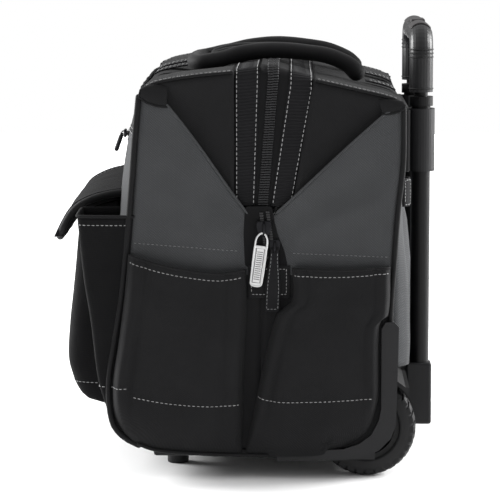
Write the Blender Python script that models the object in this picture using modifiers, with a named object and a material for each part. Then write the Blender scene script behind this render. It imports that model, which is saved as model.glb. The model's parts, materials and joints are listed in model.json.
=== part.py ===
"""Wheeled wide-mouth ball bag, in metres with +Z up.

The front pocket is at -X, the trolley handle at +X, and the two ends of the bag are at -Y (near) and +Y (far).
The floor is Z = 0. Lengths below are written in millimetres and turned into metres by mm(). X is counted from
near the mouth's rivets, and recentre() moves everything at the end so that the origin is under the bag's middle.
"""

import math

import bmesh
import bpy
from mathutils import Matrix, Vector

# Driving dimensions, millimetres
HALF_LENGTH = 228.5  # outer face of each end wall: an 18 inch bag
PAD = 4.0  # padded wall
GAP = 0.4  # between pieces that touch
BALL_RADIUS = 108.0
BALL_X = -28.0
BALL_Z = 158.0
WHEEL_RADIUS = 50.0
WHEEL_X = 104.0
WHEEL_Y = 200.5
TYRE_WIDTH = 26.0
AXLE_RADIUS = 4.0
TUBE_X = 161.5
TUBE_Y = 100.0
OUTER_TUBE = (10.0, 8.8)  # outside and inside radius
MIDDLE_TUBE = (8.5, 7.4)
INNER_TUBE = (7.1, 6.0)
PIVOT_X = -5.0  # the mouth frames turn on rivets here
PIVOT_Z = 254.0
PIN_RADIUS = 2.5
BOW_RADIUS = 1.8
STRIP_Y = 224.0  # outer face of the mouth strips, just inside the end walls
STRIP_THICK = 2.5
TRAY_TOP = 30.7
TRAY_BOTTOM = 21.0
FOOT_X = -90.0
FOOT_Y = 140.0
ZIP_FACE = HALF_LENGTH + GAP  # the zip stop, pockets and guards sit on the end wall here
POCKET_DEPTH = 20.0
FABRIC = 3.0
FRONT_ZIP_Z = 341.0
INNER_REACH = HALF_LENGTH - PAD - 2 * GAP  # half length of what fits between the end walls
TUBE_SPLAY = 13.0  # half width of the bracket round the foot of a tube
STRIP_FOOT = 277.0  # the mouth strips and the zip tapes end at these heights
TAPE_FOOT = 270.0
SLIDER_UPPER = (0.0, -ZIP_FACE, 255.0)
SLIDER_LOWER = (10.8, -ZIP_FACE, 236.5)
METAL_BAR = (0.0, -ZIP_FACE - 6.1, 251.0)  # where each pull hangs
WEBBING_BAR = (10.8, -ZIP_FACE - 3.9, 234.5)
REAR_HANDLE = {"base": (94, 404.6), "leg_y": 70, "grip_x": -71, "grip_z": 419.6, "radius": 9.0}
FRONT_HANDLE = {"base": (-55, 417.0), "leg_y": 38, "grip_x": 56, "grip_z": 417.5, "radius": 6.5}
HANDLE_CREST = 429.2
FLAP_HINGE = (-152.0, 283.0)
BUTTON = {"half_x": 7.5, "half_y": 21, "low": 445.4, "high": 454.8}
CENTRE_X = -21.0  # midway between the flap's tip and the trolley bracket: the origin is on the floor here
SIDES = ((-1, "near"), (1, "far"))

COLOURS = {
    "black_fabric": ((0.020, 0.020, 0.021, 1), 0.9, 0.0),
    "grey_canvas": ((0.060, 0.064, 0.068, 1), 0.9, 0.0),
    "webbing": ((0.016, 0.016, 0.017, 1), 0.8, 0.0),
    "foam": ((0.10, 0.10, 0.11, 1), 1.0, 0.0),
    "black_plastic": ((0.022, 0.022, 0.024, 1), 0.5, 0.0),
    "tube_enamel": ((0.010, 0.010, 0.011, 1), 0.35, 0.3),
    "steel": ((0.55, 0.55, 0.56, 1), 0.35, 1.0),
    "zip_coil": ((0.015, 0.015, 0.016, 1), 0.6, 0.0),
    "tyre_rubber": ((0.013, 0.013, 0.014, 1), 0.85, 0.0),
}


def mm(*values):
    """A vector in metres from millimetres."""
    return Vector(values) / 1000


# ---------------------------------------------------------------- scene and helpers


def clear_scene():
    for obj in list(bpy.data.objects):
        bpy.data.objects.remove(obj)


def make_materials():
    for name, (colour, rough, metal) in COLOURS.items():
        material = bpy.data.materials.new(name)
        material.use_nodes = True
        shader = material.node_tree.nodes["Principled BSDF"]
        shader.inputs["Base Color"].default_value = colour
        shader.inputs["Roughness"].default_value = rough
        shader.inputs["Metallic"].default_value = metal


def new_collection(name, hidden=False):
    collection = bpy.data.collections.new(name)
    bpy.context.scene.collection.children.link(collection)
    collection.hide_render = hidden
    return collection


def place(mesh, name, material=None, cutter=False):
    obj = bpy.data.objects.new(name, mesh)
    if cutter:
        CUTTERS.objects.link(obj)
        obj.hide_render = True
        obj.display_type = "WIRE"
    else:
        PARTS.objects.link(obj)
    if material:
        mesh.materials.clear()
        mesh.materials.append(bpy.data.materials[material])
    return obj


def mesh_of(obj):
    """The evaluated mesh of a helper object in world space; the helper is removed."""
    bpy.context.view_layer.update()
    graph = bpy.context.evaluated_depsgraph_get()
    mesh = bpy.data.meshes.new_from_object(obj.evaluated_get(graph))
    mesh.transform(obj.matrix_world)
    bpy.data.objects.remove(obj)
    shell = bmesh.new()
    shell.from_mesh(mesh)
    bmesh.ops.remove_doubles(shell, verts=shell.verts, dist=1e-5)
    bmesh.ops.recalc_face_normals(shell, faces=shell.faces)
    shell.to_mesh(mesh)
    shell.free()
    return mesh


def smooth(obj, angle=40):
    for polygon in obj.data.polygons:
        polygon.use_smooth = True
    obj.data.set_sharp_from_angle(angle=math.radians(angle))
    return obj


def bevelled(obj, width, segments=2):
    modifier = obj.modifiers.new("Bevel", "BEVEL")
    modifier.width = width / 1000
    modifier.segments = segments
    modifier.limit_method = "ANGLE"
    modifier.angle_limit = math.radians(50)
    return obj


def combine(obj, other, operation="DIFFERENCE"):
    modifier = obj.modifiers.new(operation.title(), "BOOLEAN")
    modifier.operation = operation
    modifier.solver = "EXACT"
    modifier.object = other
    return obj


def box(name, low, high, material=None, cutter=False):
    low = mm(*low)
    high = mm(*high)
    cube = bmesh.new()
    bmesh.ops.create_cube(cube, size=1)
    bmesh.ops.scale(cube, vec=high - low, verts=cube.verts)
    mesh = bpy.data.meshes.new(name)
    cube.to_mesh(mesh)
    cube.free()
    obj = place(mesh, name, material, cutter)
    obj.location = (low + high) / 2
    return obj


def cylinder(name, centre, axis, radius, length, material=None, cutter=False, segments=32):
    disc = bmesh.new()
    bmesh.ops.create_cone(
        disc, cap_ends=True, segments=segments,
        radius1=radius / 1000, radius2=radius / 1000, depth=length / 1000,
    )
    bmesh.ops.rotate(disc, verts=disc.verts, matrix=Vector((0, 0, 1)).rotation_difference(axis).to_matrix())
    mesh = bpy.data.meshes.new(name)
    disc.to_mesh(mesh)
    disc.free()
    obj = place(mesh, name, material, cutter)
    obj.location = mm(*centre)
    return obj


def filled_outline(name, outline, thickness):
    """A helper object: a flat outline in millimetres, filled and given a thickness about its own plane."""
    curve = bpy.data.curves.new(name, "CURVE")
    curve.dimensions = "2D"
    curve.fill_mode = "BOTH"
    curve.extrude = thickness / 2000
    line = curve.splines.new("POLY")
    line.points.add(len(outline) - 1)
    for point, (across, up) in zip(line.points, outline):
        point.co = (*mm(across, up, 0), 1)
    line.use_cyclic_u = True
    obj = bpy.data.objects.new(name + "_outline", curve)
    PARTS.objects.link(obj)
    return obj


def end_prism(name, outline, y_low, y_high, material=None, cutter=False):
    """An (x, z) outline in millimetres, filled and extruded along Y."""
    obj = filled_outline(name, outline, y_high - y_low)
    obj.rotation_euler = (math.pi / 2, 0, 0)
    obj.location = mm(0, (y_low + y_high) / 2, 0)
    return place(mesh_of(obj), name, material, cutter)


def sheet(name, rows, thickness, material, keep=None):
    """A grid of points in millimetres skinned with quads and thickened; keep(i, j) says which cells exist."""
    grid = bmesh.new()
    points = [[grid.verts.new(mm(*point)) for point in row] for row in rows]
    for i in range(len(rows) - 1):
        for j in range(len(rows[0]) - 1):
            if keep is None or keep(i, j):
                grid.faces.new((points[i][j], points[i][j + 1], points[i + 1][j + 1], points[i + 1][j]))
    loose = [vertex for vertex in grid.verts if not vertex.link_faces]
    bmesh.ops.delete(grid, geom=loose, context="VERTS")
    mesh = bpy.data.meshes.new(name)
    grid.to_mesh(mesh)
    grid.free()
    obj = place(mesh, name, material)
    modifier = obj.modifiers.new("Solidify", "SOLIDIFY")
    modifier.thickness = thickness / 1000
    modifier.offset = -1
    return smooth(obj)


def hood(name, arch, skirt, half_width, thickness, material):
    """An arched sheet along Y whose two ends are closed by skirts; arch and skirt are (x, z) in millimetres."""
    shell = bmesh.new()
    sides = []
    for y in (-half_width, half_width):
        sides.append([shell.verts.new(mm(x, y, z)) for x, z in arch + skirt])
    near, far = sides
    for i in range(len(arch) - 1):
        shell.faces.new((near[i], near[i + 1], far[i + 1], far[i]))
    shell.faces.new(near)
    shell.faces.new(reversed(far))
    bmesh.ops.recalc_face_normals(shell, faces=shell.faces)
    mesh = bpy.data.meshes.new(name)
    shell.to_mesh(mesh)
    shell.free()
    obj = place(mesh, name, material)
    modifier = obj.modifiers.new("Solidify", "SOLIDIFY")
    modifier.thickness = thickness / 1000
    modifier.offset = -1
    return obj


def turned(name, profile, centre, axis, material=None, steps=32, cutter=False):
    """A closed (radius, height) ring of points in millimetres, turned about the axis; its origin is the centre."""
    ring = bmesh.new()
    points = [ring.verts.new(mm(radius, 0, height)) for radius, height in profile]
    for first, second in zip(points, points[1:] + points[:1]):
        ring.edges.new((first, second))
    mesh = bpy.data.meshes.new(name)
    ring.to_mesh(mesh)
    ring.free()
    helper = place(mesh, name + "_profile")
    modifier = helper.modifiers.new("Screw", "SCREW")
    modifier.steps = steps
    modifier.render_steps = steps
    modifier.use_merge_vertices = True
    modifier.merge_threshold = 0.0001
    obj = place(mesh_of(helper), name, material, cutter)
    obj.rotation_mode = "QUATERNION"
    obj.rotation_quaternion = Vector((0, 0, 1)).rotation_difference(axis)
    obj.location = mm(*centre)
    return obj


def pipe(name, path, radius, material=None, resolution=2):
    """A round bar along a path of points in millimetres, as a closed mesh."""
    curve = bpy.data.curves.new(name, "CURVE")
    curve.dimensions = "3D"
    curve.bevel_depth = radius / 1000
    curve.bevel_resolution = resolution
    curve.use_fill_caps = True
    line = curve.splines.new("POLY")
    line.points.add(len(path) - 1)
    for point, place_at in zip(line.points, path):
        point.co = (*mm(*place_at), 1)
    obj = bpy.data.objects.new(name + "_path", curve)
    PARTS.objects.link(obj)
    return place(mesh_of(obj), name, material)


def rounded(path, radius, steps=4):
    """The path with each inner corner replaced by an arc of about this radius."""
    path = [Vector(point) for point in path]
    result = [path[0]]
    for before, corner, after in zip(path, path[1:], path[2:]):
        start = corner + (before - corner).normalized() * min(radius, (before - corner).length * 0.49)
        end = corner + (after - corner).normalized() * min(radius, (after - corner).length * 0.49)
        for k in range(steps + 1):
            t = k / steps
            result.append(start * (1 - t) ** 2 + corner * 2 * t * (1 - t) + end * t ** 2)
    result.append(path[-1])
    return [tuple(point) for point in result]


def origin_at(obj, point):
    """Moves the object's origin to a joint axis without moving its shape."""
    bpy.context.view_layer.update()
    shift = mm(*point) - obj.location
    local = obj.matrix_world.to_3x3().inverted() @ shift
    obj.data.transform(Matrix.Translation(-local))
    obj.location = mm(*point)
    return obj


def between(low, high, share):
    return low + (high - low) * share


def side_range(side, near, far):
    """The Y range of a piece between two distances from mid-length, on one side."""
    return sorted((side * near, side * far))


# ---------------------------------------------------------------- carcass


FRONT_PROFILE = [(-113, 31.3), (-139, 42.5), (-149, 58), (-153, 98), (-146, 160), (-136, 240), (-129, 330), (-122, 391)]
BACK_PROFILE = [(147, 113), (148.3, 140), (146, 190), (140.5, 250), (138.5, 300), (139.3, 345), (137.5, 376)]
FRONT_BULGE = 18.0
FRONT_BULGE_Z = 250.0
FRONT_BULGE_REACH = 170.0


def profile_x(profile, z):
    for (x0, z0), (x1, z1) in zip(profile, profile[1:]):
        if z0 <= z <= z1:
            return between(x0, x1, (z - z0) / (z1 - z0))
    return profile[-1][0]


def front_wall_x(y, z):
    """Outer face of the front wall, which bulges between the ends."""
    across = 1 - (y / HALF_LENGTH) ** 4
    up = max(0.0, 1 - ((z - FRONT_BULGE_Z) / FRONT_BULGE_REACH) ** 2)
    return profile_x(FRONT_PROFILE, z) - FRONT_BULGE * across * up


def wall_rows(profile, face_x, stations):
    return [[(face_x(y, x, z), y, z) for y in stations] for x, z in profile]


def build_walls():
    stations = [INNER_REACH * share for share in (-1, -0.72, -0.4, 0, 0.4, 0.72, 1)]
    front = wall_rows(FRONT_PROFILE, lambda y, x, z: front_wall_x(y, z), stations)
    sheet("front_wall", [row[::-1] for row in front], PAD, "grey_canvas")
    back = wall_rows(BACK_PROFILE, lambda y, x, z: x, [-INNER_REACH, 0, INNER_REACH])
    sheet("back_wall", back, PAD, "grey_canvas")


END_OUTLINE = [
    (-119, 31.5), (-139, 42), (-150.6, 58), (-154, 96), (-148, 138), (-141, 181), (-136.5, 223), (-130, 300),
    (-126, 352), (-122, 393), (-112, 380), (-97, 378.5), (-24.5, 280.3), (-15.5, 268), (10, 267.8), (120, 369),
    (138, 376.5), (138.5, 361), (137.8, 319), (133, 272), (129.7, 224), (125.8, 159), (126, 50), (118, 36),
    (104, 31.5),
]


def build_end_wall(side, suffix):
    low, high = side_range(side, HALF_LENGTH - PAD, HALF_LENGTH)
    wall = end_prism("end_wall_" + suffix, END_OUTLINE, low, high, "grey_canvas")
    along = Vector((0, 1, 0))
    middle = (low + high) / 2
    pin_hole = cylinder("pin_hole_" + suffix, (PIVOT_X, middle, PIVOT_Z), along, PIN_RADIUS + 0.05, 20, cutter=True)
    axle_hole = cylinder(
        "axle_hole_" + suffix, (WHEEL_X, middle, WHEEL_RADIUS), along, AXLE_RADIUS + GAP, 20, cutter=True
    )
    combine(wall, pin_hole)
    combine(wall, axle_hole)


def build_base_tray():
    wing = HALF_LENGTH - 11.5
    well = WHEEL_Y - TYRE_WIDTH / 2 - 5.5
    low_x, wheel_front, back_x = -112, 46, 146
    outline = [
        (low_x, -wing), (wheel_front, -wing), (wheel_front, -well), (back_x, -well),
        (back_x, well), (wheel_front, well), (wheel_front, wing), (low_x, wing),
    ]
    obj = filled_outline("base_tray", outline, TRAY_TOP - TRAY_BOTTOM)
    obj.location = mm(0, 0, (TRAY_TOP + TRAY_BOTTOM) / 2)
    bevelled(place(mesh_of(obj), "base_tray", "black_plastic"), 3)


def build_ball_cradle():
    cradle = box("ball_cradle", (-109, -208, 36), (44, 208, 85), "foam")
    for side, suffix in SIDES:
        cup = bmesh.new()
        bmesh.ops.create_uvsphere(cup, u_segments=32, v_segments=20, radius=(BALL_RADIUS + 0.5) / 1000)
        mesh = bpy.data.meshes.new("cup_" + suffix)
        cup.to_mesh(mesh)
        cup.free()
        ball = place(mesh, "cup_" + suffix, cutter=True)
        ball.location = mm(BALL_X, side * BALL_RADIUS, BALL_Z)
        combine(cradle, ball)


def build_wheel_carrier():
    housing_radius = WHEEL_RADIUS + 8
    start = math.radians(199)
    end = math.radians(48)
    arc = []
    steps = 14
    for k in range(steps + 1):
        angle = between(start, end, k / steps)
        arc.append((WHEEL_X + housing_radius * math.cos(angle), WHEEL_RADIUS + housing_radius * math.sin(angle)))
    outline = [(146.5, 31.2), (49.2, 31.2)] + arc + [(146.5, arc[-1][1])]
    carrier = end_prism("wheel_carrier", outline, -INNER_REACH, INNER_REACH, "black_plastic")
    along = Vector((0, 1, 0))
    for side, suffix in SIDES:
        inner = WHEEL_Y - TYRE_WIDTH / 2 - 5
        well = cylinder(
            "wheel_well_" + suffix, (WHEEL_X, side * (inner + 40), WHEEL_RADIUS), along,
            WHEEL_RADIUS + 4, 80, cutter=True,
        )
        combine(carrier, well)
    bore = cylinder(
        "carrier_bore", (WHEEL_X, 0, WHEEL_RADIUS), along, AXLE_RADIUS + GAP, 500, cutter=True
    )
    combine(carrier, bore)
    axle_length = 2 * (HALF_LENGTH - GAP)
    smooth(cylinder("axle", (WHEEL_X, 0, WHEEL_RADIUS), along, AXLE_RADIUS, axle_length, "steel"))


GUARD_OUTLINE = [
    (118, 154), (118, 72), (115.4, 60), (108, 46), (96, 37), (80, 31.5), (60, 30.6), (13, 30.6), (13, 19.5),
    (68, 20), (96, 22), (115.4, 30), (128, 42.5), (133, 57), (134, 94), (135.3, 156), (131, 160.5), (122, 160.5),
]


def build_corner_guard(side, suffix):
    low, high = side_range(side, ZIP_FACE, ZIP_FACE + 4.6)
    guard = end_prism("corner_guard_" + suffix, GUARD_OUTLINE, low, high, "black_plastic")
    low, high = side_range(side, HALF_LENGTH - 11, ZIP_FACE + 1)
    skid = box("skid_" + suffix, (13.5, low, 20.5), (112, high, 30.2), cutter=True)
    combine(guard, skid, "UNION")


def build_foot(side, suffix):
    height = TRAY_BOTTOM - GAP
    centre = (FOOT_X, side * FOOT_Y, height / 2)
    foot = cylinder("foot_" + suffix, centre, Vector((0, 0, 1)), 11, height, "black_plastic")
    bevelled(foot, 1.5)


FRONT_END_POCKET = [
    (-136.5, 228), (-107, 219.5), (-75, 213), (-43, 210), (-18, 213), (-17.5, 168), (-23, 36), (-100, 32),
    (-122, 34), (-140, 44), (-150, 60), (-152, 96), (-146, 140), (-139.5, 190),
]
REAR_END_POCKET = [
    (28, 215.5), (127, 215.5), (124.5, 162), (116.5, 161), (114.5, 72), (107, 50), (95, 41), (78, 33), (-18, 33),
    (-14.5, 50), (12.5, 168), (28, 182),
]


def build_end_pocket(side, suffix, place_name, outline, hollow_x, hollow_bottom):
    low, high = side_range(side, ZIP_FACE, ZIP_FACE + POCKET_DEPTH)
    name = "end_pocket_" + suffix + "_" + place_name
    pocket = end_prism(name, outline, low, high, "black_fabric")
    hollow_low, hollow_high = side_range(side, ZIP_FACE + FABRIC, ZIP_FACE + POCKET_DEPTH - FABRIC)
    above = 260
    hollow = box(
        name + "_hollow", (hollow_x[0], hollow_low, hollow_bottom), (hollow_x[1], hollow_high, above), cutter=True
    )
    combine(pocket, hollow)


CARGO_OUTLINE = [
    (-151.5, 60), (-159, 98), (-160.4, 160), (-155.4, 240), (-154.8, 250), (-193, 250), (-202.6, 143),
    (-205.5, 109), (-203.8, 95), (-195.3, 73), (-183, 62), (-165, 58.5),
]
CARGO_HOLLOW = [(-162, 75), (-164, 160), (-159, 240), (-158.5, 260), (-190.6, 260), (-199.4, 143), (-201, 98), (-190, 75)]
SIDE_OUTLINE = [(-152.5, 70), (-158, 98), (-158.6, 160), (-153.2, 235), (-151.5, 266), (-188, 266), (-178, 160), (-163, 72)]
SIDE_HOLLOW = [(-161.5, 96), (-162, 160), (-156.5, 235), (-154.5, 275), (-185.7, 275), (-174.6, 160), (-165, 96)]


def build_front_pockets():
    half = 135
    cargo = end_prism("cargo_pocket", CARGO_OUTLINE, -half, half, "black_fabric")
    hollow = end_prism("cargo_hollow", CARGO_HOLLOW, -half + FABRIC, half - FABRIC, cutter=True)
    combine(cargo, hollow)
    for side, suffix in SIDES:
        low, high = side_range(side, 145, HALF_LENGTH - 1)
        pocket = end_prism("side_pocket_" + suffix, SIDE_OUTLINE, low, high, "black_fabric")
        low, high = side_range(side, 145 + FABRIC, HALF_LENGTH - 1 - FABRIC)
        hollow = end_prism("side_hollow_" + suffix, SIDE_HOLLOW, low, high, cutter=True)
        combine(pocket, hollow)


FLAP_ARCH = [(-152, 285.2), (-173, 281), (-189, 274.5), (-199, 267.5), (-208, 254), (-218, 233.5)]
FLAP_SKIRT = [(-209.5, 234.5), (-197, 252), (-189, 260.5), (-180, 266), (-166, 271), (-153.5, 274.5)]


def build_cargo_flap():
    flap = hood("cargo_flap", FLAP_ARCH, FLAP_SKIRT, 141, FABRIC, "black_fabric")
    origin_at(flap, (FLAP_HINGE[0], 0, FLAP_HINGE[1]))


def build_front_zip():
    half_height = 5
    rows = []
    for z in (FRONT_ZIP_Z - half_height, FRONT_ZIP_Z + half_height):
        rows.append([(front_wall_x(y, z) - 2, y, z) for y in (125, 60, 0, -60, -125)])
    sheet("front_zip", rows, 1.2, "zip_coil")
    outer = front_wall_x(0, FRONT_ZIP_Z) - 2.5 - GAP
    start_y = -115
    depth = 2.6
    slider = box(
        "front_zip_slider", (outer - depth, start_y - 7, FRONT_ZIP_Z - 4), (outer, start_y + 7, FRONT_ZIP_Z + 4), "steel"
    )
    bevelled(slider, 0.8)
    hang = outer - depth - 2.0
    cord = [(hang, start_y, FRONT_ZIP_Z), (hang - 2.5, start_y, FRONT_ZIP_Z - 8), (hang - 6, start_y, FRONT_ZIP_Z - 16)]
    pull = pipe("front_zip_pull", cord, 1.7, "webbing")
    origin_at(pull, (hang, start_y, FRONT_ZIP_Z))


ZIP_STOP_OUTLINE = [
    (-20, 275), (-20, 224), (-16, 217), (-16, 184.5), (26, 184.5), (26, 275), (18, 275), (18, 226), (-9.5, 226),
    (-9.5, 275),
]


def build_zip_stop(side, suffix):
    low, high = side_range(side, ZIP_FACE, ZIP_FACE + 2)
    end_prism("zip_stop_" + suffix, ZIP_STOP_OUTLINE, low, high, "black_fabric")


def build_keeper_tab(side, suffix):
    low, high = side_range(side, 148, 176)
    box("keeper_tab_" + suffix, (141.8, low, 271), (144.2, high, 300), "webbing")


# ---------------------------------------------------------------- mouth


FRONT_ARCH = [(-30, 411.8), (-72, 407.5), (-108, 401), (-121.5, 394.5)]
FRONT_GUSSET = [(-111.6, 382.2), (-96.4, 380.6), (-29.9, 290.5)]
REAR_ARCH = [(138.6, 380), (127, 386), (92, 394.5), (49.5, 404)]
REAR_GUSSET = [(33.6, 291.5), (119.6, 371.8)]


def build_top_panels():
    half = HALF_LENGTH - 1
    hood("top_panel_front", FRONT_ARCH, FRONT_GUSSET, half, FABRIC, "black_fabric")
    hood("top_panel_rear", REAR_ARCH, REAR_GUSSET, half, FABRIC, "black_fabric")


def arch_z(arch, x):
    points = sorted(arch)
    return profile_x([(z, x0) for x0, z in points], x)


def mouth_line(x_low, x_high, z_low, z_high, y_out=STRIP_Y):
    """One edge of a band that rises at the near end, runs along the top and falls at the far end."""
    corner = 12
    line = [(x_low, -y_out, z_low), (x_high, -y_out, z_high - corner)]
    steps = 4
    for k in range(1, steps + 1):
        angle = math.pi / 2 * k / steps
        y = y_out - corner + corner * math.cos(angle)
        line.append((x_high, -y, z_high - corner + corner * math.sin(angle)))
    return line + [(x, -y, z) for x, y, z in reversed(line)]


def build_mouth_bands():
    """Four bands side by side: strip, zip half, zip half, strip. Each edge has its X and Z at the foot and the top."""
    edges = [
        ("mouth_strip_front", (-29.0, -29.5, 411.6), (-9.0, -4.6, 415.0), STRIP_FOOT, "webbing"),
        ("zip_half_front", (-8.6, -4.2, 415.1), (-2.2, 8.4, 416.6), TAPE_FOOT, "zip_coil"),
        ("zip_half_rear", (-1.4, 9.7, 416.6), (4.9, 23.4, 412.6), TAPE_FOOT, "zip_coil"),
        ("mouth_strip_rear", (6.7, 24.8, 412.0), (27.9, 48.9, 404.8), STRIP_FOOT, "webbing"),
    ]
    for name, left, right, foot, material in edges:
        sides = [mouth_line(x_low, x_high, foot, top) for x_low, x_high, top in (left, right)]
        band = sheet(name, [list(pair) for pair in zip(*sides)], STRIP_THICK, material)
        origin_at(band, (PIVOT_X, 0, PIVOT_Z))


def build_mouth_bow(name, foot_x, top_x, top_z, eye_y):
    """A steel bow: an eye on each rivet, two legs and a top bar."""
    leg_y = STRIP_Y - STRIP_THICK - 0.5 - BOW_RADIUS
    eye_radius = 6.5
    away = Vector((foot_x - PIVOT_X, STRIP_FOOT - PIVOT_Z)).normalized() * (eye_radius - 1.5)
    half = [
        (PIVOT_X + away.x, -eye_y, PIVOT_Z + away.y), (foot_x, -leg_y, STRIP_FOOT + 2), (top_x, -leg_y, top_z),
    ]
    path = rounded(half + [(x, -y, z) for x, y, z in reversed(half)], 12)
    bow = pipe(name, path, BOW_RADIUS, "steel")
    for side, suffix in SIDES:
        eye = turned(
            name + "_eye_" + suffix,
            [(PIN_RADIUS + 0.05, -0.75), (eye_radius, -0.75), (eye_radius, 0.75), (PIN_RADIUS + 0.05, 0.75)],
            (PIVOT_X, side * eye_y, PIVOT_Z), Vector((0, 1, 0)), cutter=True,
        )
        combine(bow, eye, "UNION")
    origin_at(bow, (PIVOT_X, 0, PIVOT_Z))


def build_pivot_pin(side, suffix):
    inner, outer = 215.6, HALF_LENGTH + 0.1
    cylinder(
        "pivot_pin_" + suffix, (PIVOT_X, side * (inner + outer) / 2, PIVOT_Z), Vector((0, 1, 0)),
        PIN_RADIUS, outer - inner, "steel",
    )


def build_zip_slider(name, centre, width, height, thick, bridge_drop):
    """A slider body with a strap that holds the pull's bar; it faces -Y."""
    x, face, z = centre
    body = box(name, (x - width / 2, face - thick, z - height / 2), (x + width / 2, face, z + height / 2), "steel")
    strap_half = 2.0
    reach = thick + 4.2
    bar_z = z - bridge_drop
    strap = box(
        name + "_strap", (x - strap_half, face - reach, bar_z - 3), (x + strap_half, face - thick + 1, bar_z + 6),
        cutter=True,
    )
    window = box(
        name + "_window", (x - 5, face - thick - 3.0, bar_z - 1.6), (x + 5, face - thick, bar_z + 4.6),
        cutter=True,
    )
    combine(strap, window)
    combine(body, strap, "UNION")
    return body


def build_pull(name, bar, ring_half, plate_low, plate_half, plate_thick, material):
    """A pull whose bar runs along X through the strap, with a plate hanging below it."""
    x, y, z = bar
    low_x, low_z = plate_low
    arm = 4.0
    bar_radius = 1.0
    ring_end = z - 9
    outline = [
        (x - arm - 1.2, z + 1.0), (x + arm + 1.2, z + 1.0), (x + ring_half, ring_end), (low_x + plate_half, low_z + 2),
        (low_x + plate_half - 2, low_z), (low_x - plate_half + 2, low_z), (low_x - plate_half, low_z + 2),
        (x - ring_half, ring_end),
    ]
    pull = end_prism(name, outline, y - plate_thick / 2, y + plate_thick / 2, material)
    eye = box(name + "_eye", (x - arm + 1, y - 5, ring_end + 1), (x + arm - 1, y + 5, z - bar_radius), cutter=True)
    combine(pull, eye)
    origin_at(pull, bar)


def build_sliders():
    upper = build_zip_slider("slider_upper", SLIDER_UPPER, 16, 15, 4.6, 4.0)
    lower = build_zip_slider("slider_lower", SLIDER_LOWER, 12, 15, 2.4, 2.0)
    origin_at(upper, SLIDER_UPPER)
    origin_at(lower, SLIDER_LOWER)
    build_pull("pull_metal", METAL_BAR, 5.9, (-8.0, 197), 6.3, 1.8, "steel")
    build_pull("pull_webbing", WEBBING_BAR, 5.2, (8.2, 171), 7.2, 2.0, "webbing")


# ---------------------------------------------------------------- carry handles


def build_carry_handle(name, size):
    base_x, base_z = size["base"]
    toward = math.copysign(1, size["grip_x"] - base_x)
    span = abs(size["grip_x"] - base_x)
    crest = HANDLE_CREST - (REAR_HANDLE["radius"] - size["radius"])
    leg = [
        (base_x, base_z), (base_x + toward * 0.24 * span, crest - 2), (base_x + toward * 0.55 * span, crest),
        (base_x + toward * 0.82 * span, crest - 2), (size["grip_x"], size["grip_z"]),
    ]
    near = [(x, -size["leg_y"], z) for x, z in leg]
    path = rounded(near + [(x, -y, z) for x, y, z in reversed(near)], 22)
    handle = smooth(pipe(name, path, size["radius"], "black_fabric"))
    origin_at(handle, (base_x, 0, base_z))


def build_handle_mount(name, arch, edge_x, band_x, tail_x, leg_y):
    """A webbing band along the top edge with a tail under each handle leg."""
    half_tail = 15
    columns = [-leg_y - half_tail, -leg_y + half_tail, leg_y - half_tail, leg_y + half_tail]
    xs = [edge_x, band_x, (band_x + tail_x) / 2, tail_x]
    rows = [[(x, y, arch_z(arch, x) + 1.7) for y in columns] for x in xs]
    if edge_x < 0:
        rows = [row[::-1] for row in rows]
    sheet(name, [row[::-1] for row in rows], 1.0, "webbing", keep=lambda i, j: i == 0 or j != 1)


# ---------------------------------------------------------------- wheels


def build_wheel(side, suffix):
    along = Vector((0, 1, 0))
    centre = (WHEEL_X, side * WHEEL_Y, WHEEL_RADIUS)
    half = TYRE_WIDTH / 2
    rim = 33
    hub_profile = [
        (AXLE_RADIUS + 0.05, -half + 1), (11, -half + 1), (13, -4), (rim - 6, -4), (rim - 5, -half + 2), (rim, -half + 2),
        (rim, half - 2), (rim - 5, half - 2), (rim - 6, 4), (13, 4), (11, half - 1), (AXLE_RADIUS + 0.05, half - 1),
    ]
    smooth(turned("wheel_" + suffix + "_hub", hub_profile, centre, along, "black_plastic", steps=40), 30)
    tread = WHEEL_RADIUS
    tyre_profile = [
        (rim + GAP, -half + 2), (tread - 8, -half), (tread - 3, -half + 1.5), (tread, -half + 6), (tread, half - 6),
        (tread - 3, half - 1.5), (tread - 8, half), (rim + GAP, half - 2),
    ]
    smooth(turned("wheel_" + suffix + "_tyre", tyre_profile, centre, along, "tyre_rubber", steps=48), 30)


# ---------------------------------------------------------------- trolley


def tube_profile(radii, low, high):
    outside, inside = radii
    return [(inside, low), (outside, low), (outside, high), (inside, high)]


def build_trolley_side(side, suffix):
    up = Vector((0, 0, 1))
    foot = (TUBE_X, side * TUBE_Y, 0)
    smooth(turned("outer_tube_" + suffix, tube_profile(OUTER_TUBE, 62, 368), foot, up, "tube_enamel"))
    outside, inside = MIDDLE_TUBE
    collar = 12.5
    middle = [(inside, 76), (outside, 76), (outside, 368.6), (collar, 368.6), (collar, 378.4), (inside, 378.4)]
    smooth(turned("middle_tube_" + suffix, middle, foot, up, "tube_enamel"), 30)
    smooth(turned("inner_tube_" + suffix, tube_profile(INNER_TUBE, 82, 424), foot, up, "tube_enamel"))
    low, high = side_range(side, TUBE_Y - TUBE_SPLAY, TUBE_Y + TUBE_SPLAY)
    bracket = box("lower_bracket_" + suffix, (147.2, low, 35), (174, high, 100), "black_plastic")
    socket = cylinder(
        "tube_socket_" + suffix, (TUBE_X, side * TUBE_Y, 61.6 + 40), up, OUTER_TUBE[0] + GAP, 80, cutter=True
    )
    bevelled(bracket, 2.5)
    combine(bracket, socket)


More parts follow.
